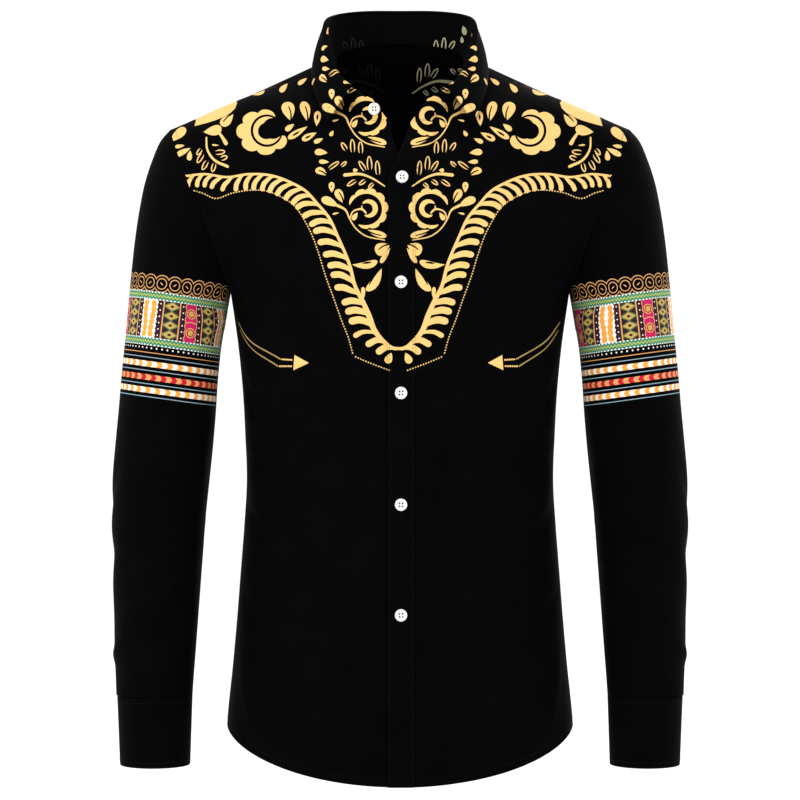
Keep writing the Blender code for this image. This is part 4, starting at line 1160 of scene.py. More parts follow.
# %% Cotton poplin and its inks
# Poplin has about 40 threads to the centimetre. They are drawn at 16 to the
# centimetre, which is the finest that still shows in a close view.
THREAD_PITCH = 0.6
THREAD_RELIEF = 0.08


def weave_height(tree):
    """Height of a plain weave from the cloth's own flat places."""
    flat = add_node(tree, "ShaderNodeUVMap", uv_map="cloth_flat")
    turns = math.pi / (THREAD_PITCH * MM)
    across = add_node(tree, "ShaderNodeSeparateXYZ", {0: flat.outputs[0]})
    waves = []
    for axis in ("X", "Y"):
        angle = add_node(tree, "ShaderNodeMath", {0: across.outputs[axis], 1: turns}, operation="MULTIPLY")
        waves.append(add_node(tree, "ShaderNodeMath", {0: angle.outputs[0]}, operation="SINE"))
    over = add_node(tree, "ShaderNodeMath", {0: waves[0].outputs[0], 1: waves[1].outputs[0]},
                    operation="MULTIPLY")
    return add_node(tree, "ShaderNodeMath", {0: over.outputs[0]}, operation="ABSOLUTE").outputs[0]


def cotton(name, low, high, roughness, specular, patch_mm, weave=0.25, sheen=0.0):
    """Woven cotton whose colour drifts softly between two shades."""
    material, tree, shader = new_material(name, {
        "Roughness": roughness, "Specular IOR Level": specular, "Sheen Weight": sheen,
        "Sheen Roughness": 0.5})
    drifting_colour(tree, shader, (low, high), 1000.0 / patch_mm, 3.0)
    bump = add_node(tree, "ShaderNodeBump", {"Strength": weave, "Distance": THREAD_RELIEF * MM,
                                             "Height": weave_height(tree)})
    tree.links.new(bump.outputs[0], shader.inputs["Normal"])
    return material


# Columns: sRGB of the thin and of the thick ink
INKS = {
    "gold": ("#EABB6C", "#F9D286"), "faded_gold": ("#8A7442", "#C4A662"),
    "ring_gold": ("#B8824C", "#E6B074"), "teal": ("#26765C", "#348A6C"),
    "lime": ("#9CAC54", "#B2C066"), "white": ("#EDE9E0", "#FBFAF5"), "plum": ("#280D1C", "#36142A"),
    "tan": ("#BE9A4C", "#D2AC5E"), "olive": ("#4D6A3E", "#64804C"), "dark": ("#160A0C", "#221012"),
    "copper": ("#D99650", "#EDAE6C"), "orange": ("#F09A36", "#FAAE4E"),
    "magenta": ("#B91456", "#CE2366"), "wine": ("#7A0A22", "#96142E"),
    "slate": ("#86A2B2", "#9CB8C6"), "red": ("#BC1228", "#D01C36"),
}
FINISH = {"black": cotton("black_cotton_poplin", "#020203", "#060607", 0.8, 0.02, 30.0, 0.3, 0.004)}
for ink, (thin, thick) in INKS.items():
    FINISH[ink] = cotton("pigment_print_" + ink, thin, thick, 0.66, 0.15, 9.0, 0.14)
# Painted shade: the print inside the neck is gold dimmed to stand in for shade, and the darker copy is for
# the half that lies in deeper shade.
FINISH["gold_in_painted_shade"] = cotton("dimmed_gold_print_for_shade", "#8C8768", "#C2BC94", 0.85, 0.1, 14.0)
FINISH["gold_in_deep_painted_shade"] = cotton("darkened_gold_print_for_deep_shade", "#100F0E", "#1E1D19", 0.85, 0.1, 14.0)
FINISH["thread"] = cotton("black_core_spun_thread", "#0B0B0D", "#151518", 0.5, 0.12, 3.0)
print("finishes:", len(FINISH))


# %% [markdown]
# ## Sewing a sheet into a piece
# Each finished sheet gets its thickness inwards, so its outside stays on the
# frame. The reverse has its own slots: ink hardly comes through black cotton.

# %% Sheets of cloth
POPLIN = 0.7


def activate(piece):
    """Only this piece is selected and active, as an operator needs."""
    bpy.ops.object.select_all(action="DESELECT")
    piece.select_set(True)
    bpy.context.view_layer.objects.active = piece


def new_object(name, data):
    """An object that shows this data, linked to the scene."""
    made = bpy.data.objects.new(name, data)
    bpy.context.scene.collection.objects.link(made)
    return made


def round_edges(piece, width, segments, angle):
    """Soften each edge of the active piece that turns by more than the angle."""
    edge = piece.modifiers.new("rounded edge", "BEVEL")
    edge.width = width * MM
    edge.segments = segments
    edge.limit_method = "ANGLE"
    edge.angle_limit = math.radians(angle)
    bpy.ops.object.modifier_apply(modifier=edge.name)


def sheet_mesh(name, sheet, cut, mirrored, joined):
    """Mesh of one side of the cloth, facing out, with its flat places as UVs."""
    smooth_grid, creased, out = sheet
    corners, triangles, owner = cut
    points = sample(creased, corners)
    flat = sample(flat_places(smooth_grid), corners)
    a, b, c = (points[[triangle[k] for triangle in triangles]] for k in range(3))
    facing = np.sum(np.cross(b - a, c - a) * sample(out, corners)[[t[0] for t in triangles]])
    if mirrored:
        points = flip(points)
        facing = -facing
    if facing < 0:
        triangles = [triangle[::-1] for triangle in triangles]
    data = bpy.data.meshes.new(name)
    data.from_pydata((points * MM).tolist(), [], triangles)
    loops = np.zeros(len(data.loops), int)
    data.loops.foreach_get("vertex_index", loops)
    data.uv_layers.new(name="cloth_flat").data.foreach_set("uv", flat[loops].ravel())
    slots = {}
    for face, ink in zip(data.polygons, owner):
        face.material_index = slots.setdefault(ink or "black", len(slots))
    if joined:
        mesh = bmesh.new()
        mesh.from_mesh(data)
        bmesh.ops.remove_doubles(mesh, verts=mesh.verts, dist=0.004 * MM)
        mesh.to_mesh(data)
        mesh.free()
    return data, list(slots)


def sew(node, sheet, prints=(), thickness=POPLIN, mirrored=False, joined=False,
        outside=None, inside=None, rounded_edge=0.0, gap=None):
    """Make one cloth piece and let it stand for its node of the frame."""
    rows, columns = sheet[0].shape[:2]
    cut = cut_lattice(rows, columns, prints, gap)
    data, inks = sheet_mesh(node + "_cloth", sheet, cut, mirrored, joined)
    piece = new_object(node + "_cloth", data)
    for ink in inks:
        data.materials.append(FINISH[(outside or {}).get(ink, ink)])
    for ink in inks:
        data.materials.append(FINISH[(inside or {}).get(ink, "black")])
    activate(piece)
    wall = piece.modifiers.new("thickness", "SOLIDIFY")
    wall.thickness = thickness * MM
    wall.offset = -1.0
    wall.material_offset = len(inks)
    bpy.ops.object.modifier_apply(modifier=wall.name)
    if rounded_edge:
        round_edges(piece, rounded_edge, 2, 50.0)
    piece.data.shade_smooth()
    piece.data.set_sharp_from_angle(angle=math.radians(60.0))
    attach(piece, "root")
    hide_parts(node)
    declare_cut(sheet[0], gap)


def declare_cut(grid, gap=None):
    """Flat area of each cell of the grid, with the gap column set to nothing; the result is not kept."""
    across = np.linalg.norm(np.diff(grid, axis=1), axis=2)
    down = np.linalg.norm(np.diff(grid, axis=0), axis=2)
    a, b = grid[:-1, 1:] - grid[:-1, :-1], grid[1:, :-1] - grid[:-1, :-1]
    c, d = grid[1:, :-1] - grid[1:, 1:], grid[:-1, 1:] - grid[1:, 1:]
    cells = (np.linalg.norm(np.cross(a, b), axis=2) + np.linalg.norm(np.cross(c, d), axis=2)) / 2
    if gap is not None:
        cells[:, gap] = 0.0


# %% [markdown]
# ## Fronts, band and back
# The left front laps over the right one, and the band with the buttonholes lies
# on it. Inside the back, below the collar, the print is drawn in dimmed gold as painted shade.

# %% Fronts
left = SHEETS["front_left"]
sew("front_left", left, [(front_print, finder(as_seen(left[0])))])
right = SHEETS["front_right"]
right_print = finder(as_seen(right[0]))
unflipped = tuple(flip(grid) for grid in right)
sew("front_right", unflipped, [(front_print, right_print)], mirrored=True)

# %% Placket band
band = SHEETS["placket_band"]
sew("placket_band", band, [(front_print, finder(as_seen(band[0])))], thickness=BAND_CLOTH,
    rounded_edge=0.35)

# %% Back
half_back = SHEETS["back"]
whole_back = tuple(np.concatenate([flip(grid[:, ::-1]), grid], axis=1) for grid in half_back)
centre_gap = half_back[0].shape[1] - 1
NECK_LINE = 4.0


def print_painted_in_shade(shapes):
    """The print with its gold dimmed as painted shade: dim on one half, darker on the other, where the
    painted shade is deeper.
    """
    made = []
    for mirrored, dim in ((True, "gold_in_painted_shade"), (False, "gold_in_deep_painted_shade")):
        made += [(outline, dim if ink == "gold" else ink) for outline, ink in laid_out(shapes, mirrored)]
    return made


neck_shapes = moved(fern_group(), COLUMN_REPEAT)
back_shapes = [(outline, ink) for outline, ink in neck_shapes if outline[:, 1].mean() < NECK_LINE]
stand_shapes = [(outline, ink) for outline, ink in neck_shapes if outline[:, 1].mean() >= NECK_LINE]
back_upper = BODY_STEPS + 20
half_view = as_seen(half_back[0])[back_upper:]
back_view = np.concatenate([half_view[:, ::-1] * np.array([-1.0, 1.0]), half_view], axis=1)
# Outside faces stay black cloth; the inner faces carry the print dimmed as painted shade.
SHADED_PRINT_INSIDE_ONLY = {"outside": {"gold_in_painted_shade": "black", "gold_in_deep_painted_shade": "black"},
                "inside": {"gold_in_painted_shade": "gold_in_painted_shade", "gold_in_deep_painted_shade": "gold_in_deep_painted_shade"}}
sew("back", whole_back, [(print_painted_in_shade(back_shapes), finder(back_view, first_row=back_upper))],
    joined=True, gap=centre_gap, **SHADED_PRINT_INSIDE_ONLY)


# %% [markdown]
# ## Sleeves and their woven-look border
# Round each upper sleeve runs a printed border: a chain of rings, two zigzag
# strips, a row of panels and bands of chevrons. It is drawn as it would be
# printed, along the sleeve's own round, so that it meets itself at the underarm.

# %% The border's sizes
BORDER_TOP = 241.9
BORDER_TILT = 0.138
BORDER_SLANT = 0.9907
ROUND = 360.0
RINGS = 26
RING_CENTRE = 8.3
ZIGZAGS = 94
RING_RADII = (8.8, 7.8, 5.7, 4.7)
DOTS = 66
DOT_ROW = 72.0
ZIGZAG_STRIPS = (16.5, 61.5)
ZIGZAG_HEIGHT = 8.0
PANEL = (24.5, 61.5)
REPEATS = 4
DIAMOND_COLUMNS = (0.0, 42.3)
FLOWER_COLUMN = 21.15
WAVE_COLUMN = 66.15
DIAMOND_HALF = 7.85
CHEVRONS = 34
CHEVRON_STRIPS = ((84.8, "white", "orange"), (97.8, "red", "copper"), (110.3, "white", "orange"))
CHEVRON_HEIGHT = 5.5
LINES = ((76.5, "copper"), (81.0, "slate"), (94.0, "slate"), (107.0, "slate"), (119.5, "slate"))
LINE_HEIGHT = 0.75


def box(x0, x1, y0, y1):
    return np.array([(x0, y0), (x1, y0), (x1, y1), (x0, y1)], float)


def diamond(x, y, half_x, half_y):
    return np.array([(x - half_x, y), (x, y - half_y), (x + half_x, y), (x, y + half_y)])


def wavy(x, half, y0, y1, swell, waves, sway=0.0):
    """An upright band with scalloped sides."""
    t = np.linspace(0.0, 1.0, 8 * waves + 1)
    reach = half + swell * np.abs(np.sin(waves * math.pi * t))
    middle = x + sway * np.sin(2 * math.pi * t)
    y = y0 + (y1 - y0) * t
    return np.vstack([np.stack([middle - reach, y], axis=1), np.stack([middle + reach, y], axis=1)[::-1]])


# %% The border's parts
def ring_chain(way):
    pitch = ROUND / RINGS
    places = [k * pitch for k in range(-RINGS, RINGS)]
    rim, hollow, inner_rim, inner_hollow = RING_RADII
    shapes = [(disc((x, RING_CENTRE), rim, 22), "ring_gold") for x in places]
    shapes += [(disc((x, RING_CENTRE), hollow, 22), "black") for x in places]
    for k, x in enumerate(places):
        shapes.append((disc((x, RING_CENTRE), inner_rim, 20), "ring_gold"))
        shapes.append((disc((x, RING_CENTRE), inner_hollow, 20), "black"))
        slant = way * (1.3 if k % 2 else -1.3)
        bar = ((x - slant, RING_CENTRE - 1.0), (x + slant, RING_CENTRE + 1.0))
        shapes.append((stroke(bar, (0.8, 1.3, 0.8), 4), "ring_gold"))
    return shapes


def zigzag_strip(top):
    pitch = ROUND / ZIGZAGS
    low = top + ZIGZAG_HEIGHT
    shapes = [(box(-ROUND, ROUND, top, low), "teal")]
    for k in range(-ZIGZAGS, ZIGZAGS):
        x = k * pitch
        shapes.append((np.array([(x - 1.45, top), (x + 1.45, top), (x, top + 1.8)]), "white"))
        half = x + pitch / 2
        shapes.append((np.array([(half - 1.45, low), (half, low - 1.8), (half + 1.45, low)]), "white"))
    middle = top + ZIGZAG_HEIGHT / 2
    for start in range(-2 * ZIGZAGS, 2 * ZIGZAGS + 8, 12):
        x = (start + np.arange(13)) * pitch / 2
        y = middle + np.where((start + np.arange(13)) % 2 == 0, 1.1, -1.1)
        shapes.append((np.vstack([np.stack([x, y - 1.0], axis=1),
                                  np.stack([x, y + 1.0], axis=1)[::-1]]), "lime"))
    return shapes


def diamond_column(x):
    top, low = PANEL
    shapes = [(box(x - DIAMOND_HALF - 1.3, x + DIAMOND_HALF + 1.3, top, low), "copper"),
              (box(x - DIAMOND_HALF, x + DIAMOND_HALF, top, low), "olive")]
    pitch = (low - top) / 4
    for k in range(5):
        y = top + k * pitch
        for side in (-1, 1):
            edge = x + side * (DIAMOND_HALF - 0.1)
            inner = x + side * 1.4
            shapes.append((np.array([(edge, max(y - 3.6, top)), (inner, max(y - 0.5, top)),
                                     (inner, min(y + 0.5, low)), (edge, min(y + 3.6, low))]), "plum"))
    for k in range(4):
        y = top + (k + 0.5) * pitch
        shapes.append((diamond(x, y, 6.9, 3.7), "tan"))
        shapes.append((diamond(x, y, 2.3, 1.5), "dark"))
    return shapes


def flower_column(x):
    top, low = PANEL
    shapes = [(wavy(x, 5.8, top, low, 1.2, 6), "copper"), (wavy(x, 5.0, top, low, 1.2, 6), "magenta")]
    middle = (top + low) / 2
    bow = ((x - 6.0, middle), (x, middle - 1.2), (x + 6.0, middle))
    shapes.append((stroke(bow, (0.9, 0.9), 6), "copper"))
    for y in ((top + middle) / 2, (middle + low) / 2):
        shapes.append((disc((x, y), 5.0, 16), "copper"))
        shapes.append((disc((x, y), 4.3, 16, 0.14), "wine"))
        shapes.append((disc((x, y), 2.9, 12), "copper"))
        shapes.append((disc((x, y), 2.5, 16, 0.3), "tan"))
    return shapes


def wave_column(x):
    top, low = PANEL
    shapes = [(wavy(x, 8.2, top, low, 1.1, 8), "white")]
    for side in (-1, 1):
        shapes.append((wavy(x + side * 4.2, 1.9, top + 0.6, low - 0.6, 1.2, 6, 0.7 * side), "orange"))
    return shapes


def dotted_strip(x):
    top, low = PANEL
    return [(disc((x, y), 0.75, 8), "white") for y in np.arange(top + 3.1, low, 6.2)]


def chevron_strip(top, ground, ink, way):
    shapes = [(box(-ROUND, ROUND, top, top + CHEVRON_HEIGHT), ground)]
    pitch = ROUND / CHEVRONS
    middle, low, depth = top + CHEVRON_HEIGHT / 2, top + CHEVRON_HEIGHT, 2.1 * way
    for k in range(-CHEVRONS, CHEVRONS):
        x0, x1 = k * pitch, (k + 0.5) * pitch
        outline = ((x0, top), (x1, top), (x1 + 0.6 * depth, top + 1.2), (x1 + depth, middle),
                   (x1 + 0.6 * depth, low - 1.2), (x1, low), (x0, low), (x0 + 0.6 * depth, low - 1.2),
                   (x0 + depth, middle), (x0 + 0.6 * depth, top + 1.2))
        shapes.append((np.array(outline), ink))
    return shapes


# %% The whole border
def sleeve_border(way):
    """All shapes, by distance to the viewer's right of the front and down from the top."""
    shapes = ring_chain(way)
    shapes.append((box(-ROUND, ROUND, *PANEL), "plum"))
    for repeat in range(-REPEATS, REPEATS):
        start = repeat * ROUND / REPEATS
        shapes += wave_column(start + WAVE_COLUMN) + flower_column(start + FLOWER_COLUMN)
        for column_x in DIAMOND_COLUMNS:
            shapes += diamond_column(start + column_x)
            for side in (-1, 1):
                shapes += dotted_strip(start + column_x + side * (DIAMOND_HALF + 4.05))
    for top in ZIGZAG_STRIPS:
        shapes += zigzag_strip(top)
    pitch = ROUND / DOTS
    shapes += [(disc((k * pitch, DOT_ROW), 0.9, 8), "white") for k in range(-DOTS, DOTS)]
    for middle, ink in LINES:
        shapes.append((box(-ROUND, ROUND, middle - LINE_HEIGHT / 2, middle + LINE_HEIGHT / 2), ink))
    for top, ground, ink in CHEVRON_STRIPS:
        shapes += chevron_strip(top, ground, ink, way)
    return shapes


# %% Even columns round the sleeve
def even_rings(sheet):
    """The sleeve's grids with columns at equal lengths round it, closed by a last column."""
    closed = [np.concatenate([grid, grid[:, :1]], axis=1) for grid in sheet]
    count = closed[0].shape[1] - 1
    run = girth(closed[0])
    made = []
    for grid in closed:
        rings = []
        for places, values in zip(run, grid):
            steps = np.linspace(0.0, places[-1], count + 1)
            rings.append(np.stack([np.interp(steps, places, c) for c in values.T], axis=1))
        made.append(np.array(rings))
    made[2] = unit(made[2])
    return tuple(made)


def border_finder(grid, way):
    """From distance round and down the border to column and row of the sleeve."""
    count = grid.shape[1] - 1
    fall = (BORDER_TILT * grid[..., 0] - grid[..., 2]) * BORDER_SLANT
    rows = np.arange(len(grid))

    def find(point):
        column = (ROUND / 4 + way * point[0]) / ROUND * count
        first = math.floor(column)
        share = column - first
        low = np.interp(BORDER_TOP + point[1], fall[:, first % count], rows)
        high = np.interp(BORDER_TOP + point[1], fall[:, (first + 1) % count], rows)
        return column, low + (high - low) * share

    return find


def near_round(shapes, way):
    """Only the shapes that reach the one round that the sleeve has."""
    kept = []
    for outline, ink in shapes:
        turn = ROUND / 4 + way * outline[:, 0]
        if turn.max() > 0.0 and turn.min() < ROUND:
            kept.append((outline, ink))
    return kept


# %% Sleeves
sleeve = even_rings(SHEETS["sleeve"])
for node, way, mirrored in (("sleeve_left", 1.0, False), ("sleeve_right", -1.0, True)):
    border = near_round(sleeve_border(-way), way)
    sew(node, sleeve, [(border, border_finder(sleeve[0], way))], mirrored=mirrored, joined=True)


# %% [markdown]
# ## Collar, cuffs and slit strips
# These are double and stiffened, so they are thicker, with softly rolled edges.
# The print of the fronts runs on over the collar where it faces forward.

# %% Collar
def near(shapes, places, margin=12.0):
    """Only the shapes that come near a sheet."""
    low, high = places.reshape(-1, 2).min(axis=0) - margin, places.reshape(-1, 2).max(axis=0) + margin
    return [(outline, ink) for outline, ink in shapes
            if (outline.max(axis=0) > low).all() and (outline.min(axis=0) < high).all()]


def collar_print(grid, first_row, share):
    """Shapes on both ends of the collar, and where each point of them lies."""
    last = grid.shape[1] - 1
    columns = int(share * last / 2)
    places = as_seen(grid[first_row:, :columns])
    find_near = finder(places, first_row=first_row)

    def find(point):
        column_at, row_at = find_near((abs(point[0]), point[1]))
        return (column_at, row_at) if point[0] > 0 else (last - column_at, row_at)

    both = np.concatenate([places, places * np.array([-1.0, 1.0])])
    return near(front_print, both), find


# Columns: round end, sharp end, width
STAND_DROPS = (((67.5, 30.5), (64.0, 39.5), 6.0), ((64.0, 22.5), (63.0, 29.0), 4.0))
STAND_RISE = 8.0


def print_behind(grid):
    """The print inside the back of the collar, seen through the neck, with its gold dimmed as painted shade.
    """
    first, middle = int(grid[len(grid) // 2, :, 0].argmax()) + 1, grid.shape[1] // 2
    half = as_seen(grid[:, middle:first:-1])
    whole = np.concatenate([half[:, ::-1], half[:, 1:] * np.array([-1.0, 1.0])], axis=1)
    drops = [(petal(round_end, sharp_end, width), "gold_in_painted_shade")
             for round_end, sharp_end, width in STAND_DROPS]
    shapes = print_painted_in_shade(moved(stand_shapes, STAND_RISE)) + drops
    return shapes, finder(whole, first_column=first + 1)


for node, first_row, share in (("collar_stand", 0, 0.7), ("collar_leaf", ROLL_STEPS // 2, 0.85)):
    grid = SHEETS[node][0]
    prints = [collar_print(grid, first_row, share)]
    if node == "collar_stand":
        prints.append(print_behind(grid))
    sew(node, SHEETS[node], prints, thickness=1.7, rounded_edge=0.5, **SHADED_PRINT_INSIDE_ONLY)

# %% Cuffs and slit strips
for side, mirrored in (("left", False), ("right", True)):
    sew("cuff_" + side, SHEETS["cuff"], thickness=CUFF_CLOTH, mirrored=mirrored,
        rounded_edge=0.6)
    sew("sleeve_strip_" + side, SHEETS["sleeve_strip"], thickness=BAND_CLOTH, mirrored=mirrored,
        rounded_edge=0.35)


# %% [markdown]
# ## Buttons
# A shirt button is turned from a disc of cast polyester: a rounded rim, a shallow
# well and four holes. One is modelled by hand with operators, then copied.

# %% A four-hole button
HOLE_RADIUS = 0.82
HOLE_SPREAD = 2.1
PLUG_RADIUS = 0.74
PLUG_DROP = 0.45
button_finish, tree, shader = new_material("white_cast_polyester", {
    "Roughness": 0.22, "IOR": 1.54, "Coat Weight": 0.3, "Coat Roughness": 0.08,
    "Subsurface Weight": 0.12, "Subsurface Scale": 0.0008})
drifting_colour(tree, shader, ("#DCDCD7", "#F2F2EE"), 260.0, 2.0)


def hole_place(number, height):
    """Where one of the four holes is, at a height over the button's middle."""
    turn = math.radians(45.0 + 90.0 * number)
    return HOLE_SPREAD * math.cos(turn) * MM, HOLE_SPREAD * math.sin(turn) * MM, height * MM


def button_blank():
    bpy.ops.object.select_all(action="DESELECT")
    bpy.ops.mesh.primitive_cylinder_add(vertices=48, radius=BUTTON_RADIUS * MM, depth=BUTTON_HEIGHT * MM)
    button = bpy.context.object
    bpy.ops.object.mode_set(mode="EDIT")
    bpy.ops.mesh.select_mode(type="FACE")
    bpy.ops.mesh.select_all(action="DESELECT")
    mesh = bmesh.from_edit_mesh(button.data)
    for face in mesh.faces:
        face.select = face.normal.z > 0.9
    bmesh.update_edit_mesh(button.data)
    bpy.ops.mesh.inset(thickness=1.1 * MM)
    bpy.ops.mesh.inset(thickness=0.55 * MM, depth=-0.5 * MM)
    bpy.ops.mesh.inset(thickness=0.6 * MM, depth=-0.12 * MM)
    bpy.ops.object.mode_set(mode="OBJECT")
    for k in range(4):
        bpy.ops.object.select_all(action="DESELECT")
        bpy.ops.mesh.primitive_cylinder_add(vertices=20, radius=HOLE_RADIUS * MM, depth=0.01,
                                            location=hole_place(k, 0.0))
        drill = bpy.context.object
        hole = button.modifiers.new("hole", "BOOLEAN")
        hole.object = drill
        activate(button)
        bpy.ops.object.modifier_apply(modifier=hole.name)
        bpy.data.objects.remove(drill)
    activate(button)
    round_edges(button, 0.3, 3, 35.0)
    button.data.shade_smooth()
    button.data.set_sharp_from_angle(angle=math.radians(40.0))
    return button


def thread_plugs():
    """Black thread that fills the lower part of the holes and ties the button down."""
    made = []
    for k in range(4):
        bpy.ops.object.select_all(action="DESELECT")
        bpy.ops.mesh.primitive_uv_sphere_add(segments=12, ring_count=8, radius=PLUG_RADIUS * MM,
                                             location=hole_place(k, -PLUG_DROP), scale=(1.0, 1.0, 1.6))
        made.append(bpy.context.object)
    bpy.ops.object.select_all(action="DESELECT")
    for item in made:
        item.select_set(True)
    bpy.context.view_layer.objects.active = made[0]
    bpy.ops.object.join()
    bpy.ops.object.transform_apply(location=True, rotation=True, scale=True)
    made[0].data.shade_smooth()
    return made[0]


# %% Where the buttons are sewn
def seat(point, out, clearance):
    """Matrix that stands a button on a point, facing out."""
    out = Vector(out).normalized()
    spot = (Vector(point) + out * (clearance + SEAM + BUTTON_HEIGHT / 2)) * MM
    return Matrix.Translation(spot) @ out.to_track_quat("Z", "Y").to_matrix().to_4x4()


def band_place(z):
    points, outs = (grid[:, STRIP_STEPS // 2] for grid in SHEETS["placket_band"][1:])
    mix = [[np.interp(z, points[:-1, 2], column) for column in values[:-1].T] for values in (points, outs)]
    return mix[0], mix[1]


seats = {}
for number, z in enumerate(FRONT_BUTTON_Z, 1):
    seats["button_front_%d" % number] = seat(*band_place(z), FRONT_BUTTON_SEAT)
stand_last = SHEETS["collar_stand"][0].shape[1] - 1
stand_places = np.array([(stand_last, 0.35 * STAND_ROWS), (stand_last - 5, 0.7 * STAND_ROWS)])
seats["button_collar"] = seat(sample(SHEETS["collar_stand"][0], stand_places).mean(axis=0),
                              sample(SHEETS["collar_stand"][2], stand_places).sum(axis=0),
                              COLLAR_BUTTON_SEAT)
lap_point, lap_out = cuff_point(math.radians(CUFF_LAP_ANGLE - CUFF_BUTTON_INSET), 0.5, CUFF_CLOTH + SEAM)
seats["button_cuff_left"] = seat(lap_point, lap_out, CUFF_BUTTON_SEAT)
seats["button_cuff_right"] = seat(flip(lap_point), flip(lap_out), CUFF_BUTTON_SEAT)

blank, plugs = button_blank(), thread_plugs()
blank.data.materials.append(button_finish)
plugs.data.materials.append(FINISH["thread"])
for node, matrix in seats.items():
    for source, ending, slot in ((blank, "_turned", "button"), (plugs, "_thread", "cloth")):
        piece = new_object(node + ending, source.data.copy())
        piece.data.transform(matrix)
        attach(piece, "root")
        if slot == "button":
            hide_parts(node)
for source in (blank, plugs):
    bpy.data.objects.remove(source)
print("buttons:", len(seats))


# %% [markdown]
# ## Stitching
# Topstitching holds the hems, the band and the collar's edge: seven stitches to
# the inch, 3 mm long. One stitch is a slim eight-faced body laid on the cloth, and
# a seam is a row of them in one mesh.

# %% Rows of stitches
STITCH = (3.0, 0.55, 0.28)
STITCH_PITCH = 3.6
SEAM_POINTS = 160
HEM_ROW = 1.8
SEAM_INSET = 2.2
LEAF_INSET = 2.6
LEAF_EDGE_INSET = 1.9
CUFF_INSET = 1.7
BUTTONHOLE_STITCH = (1.5, 0.62, 0.3)
BUTTONHOLE_HALF = 7.6
BUTTONHOLE_SIDE = 0.85
BUTTONHOLE_STITCHES = 22


def stitch_body(middle, way, out, size):
    """Six corners of one stitch: two tips and four round its middle."""
    length, width, height = size
    side = np.cross(out, way)
    return [middle - way * length / 2, middle + way * length / 2,
            middle + side * width / 2, middle + out * height,
            middle - side * width / 2, middle - out * height * 0.4]


STITCH_FACES = ((0, 3, 2), (0, 4, 3), (0, 5, 4), (0, 2, 5), (1, 2, 3), (1, 3, 4), (1, 4, 5), (1, 5, 2))


def seam(sheet, columns, rows):
    """Stitches along a line on a sheet. A lone column or row holds all the way."""
    ways = [np.linspace(*np.broadcast_to(ends, 2), SEAM_POINTS) for ends in (columns, rows)]
    places = np.stack(ways, axis=1)
    points, outs = sample(sheet[1], places), sample(sheet[2], places)
    run = run_of(points)
    bodies = []
    for middle in np.arange(STITCH_PITCH, run[-1] - STITCH_PITCH / 2, STITCH_PITCH):
        spot, ahead, out = (np.array([np.interp(place, run, c) for c in values.T])
                            for place, values in ((middle, points), (middle + 0.5, points), (middle, outs)))
        out = unit(out)
        way = unit(ahead - spot - out * np.dot(ahead - spot, out))
        bodies.append(stitch_body(spot + out * 0.1, way, out, STITCH))
    return bodies


def stitches(name, bodies, both_sides=False):
    """One mesh of all the stitches of a piece, and of its mirrored twin."""
    corners = np.array(bodies).reshape(-1, 3)
    faces = [tuple(6 * k + c for c in face) for k in range(len(bodies)) for face in STITCH_FACES]
    if both_sides:
        count = len(corners)
        faces += [tuple(count + c for c in face[::-1]) for face in faces]
        corners = np.vstack([corners, flip(corners)])
    data = bpy.data.meshes.new(name)
    data.from_pydata((corners * MM).tolist(), [], faces)
    data.materials.append(FINISH["thread"])
    piece = new_object(name, data)
    activate(piece)
    bpy.ops.object.mode_set(mode="EDIT")
    bpy.ops.mesh.select_all(action="SELECT")
    bpy.ops.mesh.normals_make_consistent(inside=False)
    bpy.ops.object.mode_set(mode="OBJECT")
    data.shade_smooth()
    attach(piece, "root")
    print("%-18s %d stitches" % (name, len(bodies)))


# %% Seams of every piece
panel_last = STRIP_STEPS + PANEL_STEPS
side_column = panel_last - SEAM_INSET
side_rows = (BODY_STEPS + 4, BODY_STEPS + ARM_STEPS - 3)
for node in ("front_left", "front_right"):
    bodies = seam(SHEETS[node], (STRIP_STEPS + 1, panel_last - 1), HEM_ROW)
    bodies += seam(SHEETS[node], side_column, side_rows)
    stitches(node + "_stitches", bodies)
bodies = seam(SHEETS["back"], (0.5, panel_last - 1), HEM_ROW)
bodies += seam(SHEETS["back"], side_column, side_rows)
bodies += seam(SHEETS["back"], (2.0, panel_last - 3), BODY_STEPS + ARM_STEPS - 2.0)
stitches("back_stitches", bodies, both_sides=True)

bodies = []
for column_at in (0.5, STRIP_STEPS - 0.5):
    bodies += seam(SHEETS["placket_band"], column_at, (0.5, band_rows - 1.5))
for z in FRONT_BUTTON_Z:
    point, out = (np.array(values) for values in band_place(z))
    up = unit(np.array([0.0, 0.0, 1.0]) - out * out[2])
    across = np.cross(up, out)
    for side in (-1.0, 1.0):
        for step in np.linspace(-BUTTONHOLE_HALF, BUTTONHOLE_HALF, BUTTONHOLE_STITCHES):
            spot = point + across * side * BUTTONHOLE_SIDE + up * step
            bodies.append(stitch_body(spot, across, out, BUTTONHOLE_STITCH))
stitches("placket_stitches", bodies)

leaf = SHEETS["collar_leaf"]
leaf_ends = (LEAF_INSET, leaf[0].shape[1] - 1 - LEAF_INSET)
leaf_row = ROLL_STEPS + FALL_STEPS - LEAF_EDGE_INSET
bodies = seam(leaf, leaf_ends, leaf_row)
for column_at in leaf_ends:
    bodies += seam(leaf, column_at, (ROLL_STEPS, leaf_row))
bodies += seam(SHEETS["collar_stand"], (0.5, stand_last - 0.5), 0.8)
stitches("collar_stitches", bodies)

bodies = []
cuff_rows = (CUFF_INSET, CUFF_ROWS - CUFF_INSET)
for row_at in cuff_rows:
    bodies += seam(SHEETS["cuff"], (CUFF_STEPS * 0.1, CUFF_STEPS - 2.0), row_at)
bodies += seam(SHEETS["cuff"], CUFF_STEPS - 2.0, cuff_rows)
strip = SHEETS["sleeve_strip"]
strip_rows, strip_columns = strip[0].shape[:2]
for column_at in (0.8, strip_columns - 1.8):
    bodies += seam(strip, column_at, (0.5, strip_rows - 1.5))
bodies += seam(sleeve, 2.0, (3.0, SLEEVE_ROWS - 1.0))
stitches("sleeve_stitches", bodies, both_sides=True)


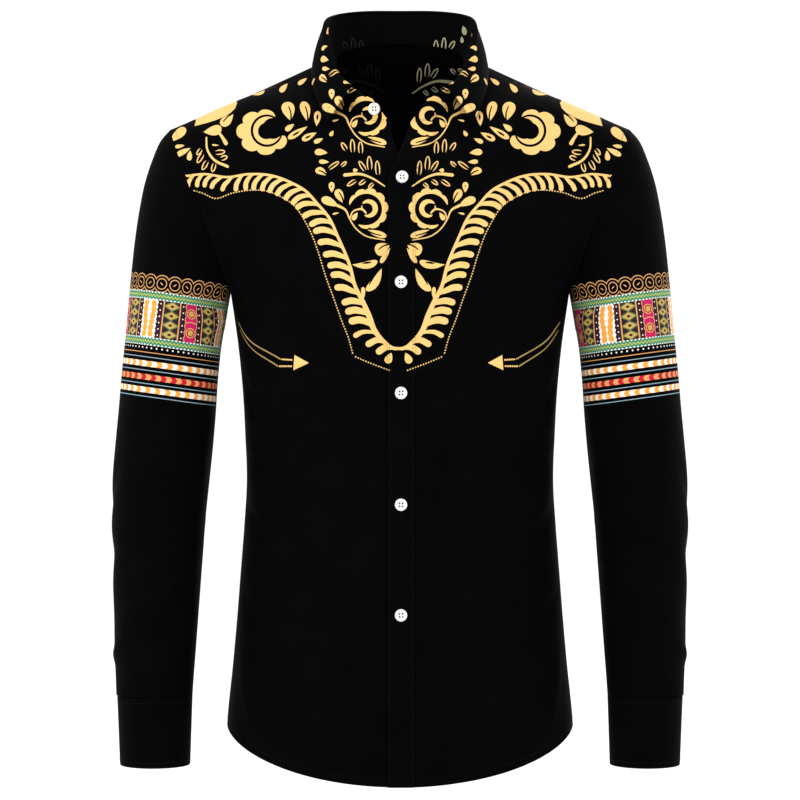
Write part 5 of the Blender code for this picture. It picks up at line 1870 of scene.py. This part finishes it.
# %% [markdown]
# ## Studio
# A pale floor, an even white room and two large soft lamps show the black cloth's
# form without a hard shadow. The camera stands 3 m away with a long lens, so the
# shirt is seen almost without perspective, as in a catalogue picture.

# %% Camera, floor and lights
FLOOR_Z = -0.80
camera_data = bpy.data.cameras.new("catalogue_camera")
camera_data.sensor_width = 36.0
camera_data.lens = 135.0
camera = new_object("catalogue_camera", camera_data)
camera.location = (0.0, -VIEW_DISTANCE * MM, VIEW_HEIGHT * MM)
camera.rotation_euler = (math.pi / 2, 0.0, 0.0)
bpy.context.scene.camera = camera

bpy.ops.object.select_all(action="DESELECT")
bpy.ops.mesh.primitive_plane_add(size=14.0, location=(0.0, 0.0, FLOOR_Z))
floor = bpy.context.object
floor.name = "studio_floor"
bpy.ops.object.transform_apply(location=True, rotation=True, scale=True)
floor_finish, tree, shader = new_material("painted_studio_floor", {
    "Roughness": 0.7, "Specular IOR Level": 0.2})
drifting_colour(tree, shader, ("#F8F8F7", "#FEFEFD"), 9.0, 4.0)
floor.data.materials.append(floor_finish)
floor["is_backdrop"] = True

world = bpy.data.worlds.new("white_room")
world.use_nodes = True
world.node_tree.nodes["Background"].inputs["Color"].default_value = (1.0, 1.0, 1.0, 1.0)
world.node_tree.nodes["Background"].inputs["Strength"].default_value = 1.1
bpy.context.scene.world = world
bpy.context.scene.view_settings.view_transform = "Standard"

LAMPS = (("key_lamp", (-1.7, -2.4, 1.5), 1.6, 26.0), ("back_lamp", (1.4, 2.2, 1.3), 1.6, 20.0))
for name, spot, size, power in LAMPS:
    lamp_data = bpy.data.lights.new(name, "AREA")
    lamp_data.shape = "DISK"
    lamp_data.size = size
    lamp_data.energy = power
    lamp = new_object(name, lamp_data)
    lamp.location = spot
    aim = Vector((0.0, 0.0, VIEW_HEIGHT * MM)) - Vector(spot)
    lamp.rotation_euler = aim.to_track_quat("-Z", "Y").to_euler()

# %% Sizes
size = {"cad": cad_box, "visual": [list(corner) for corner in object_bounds()]}
print("box before and after:", size)
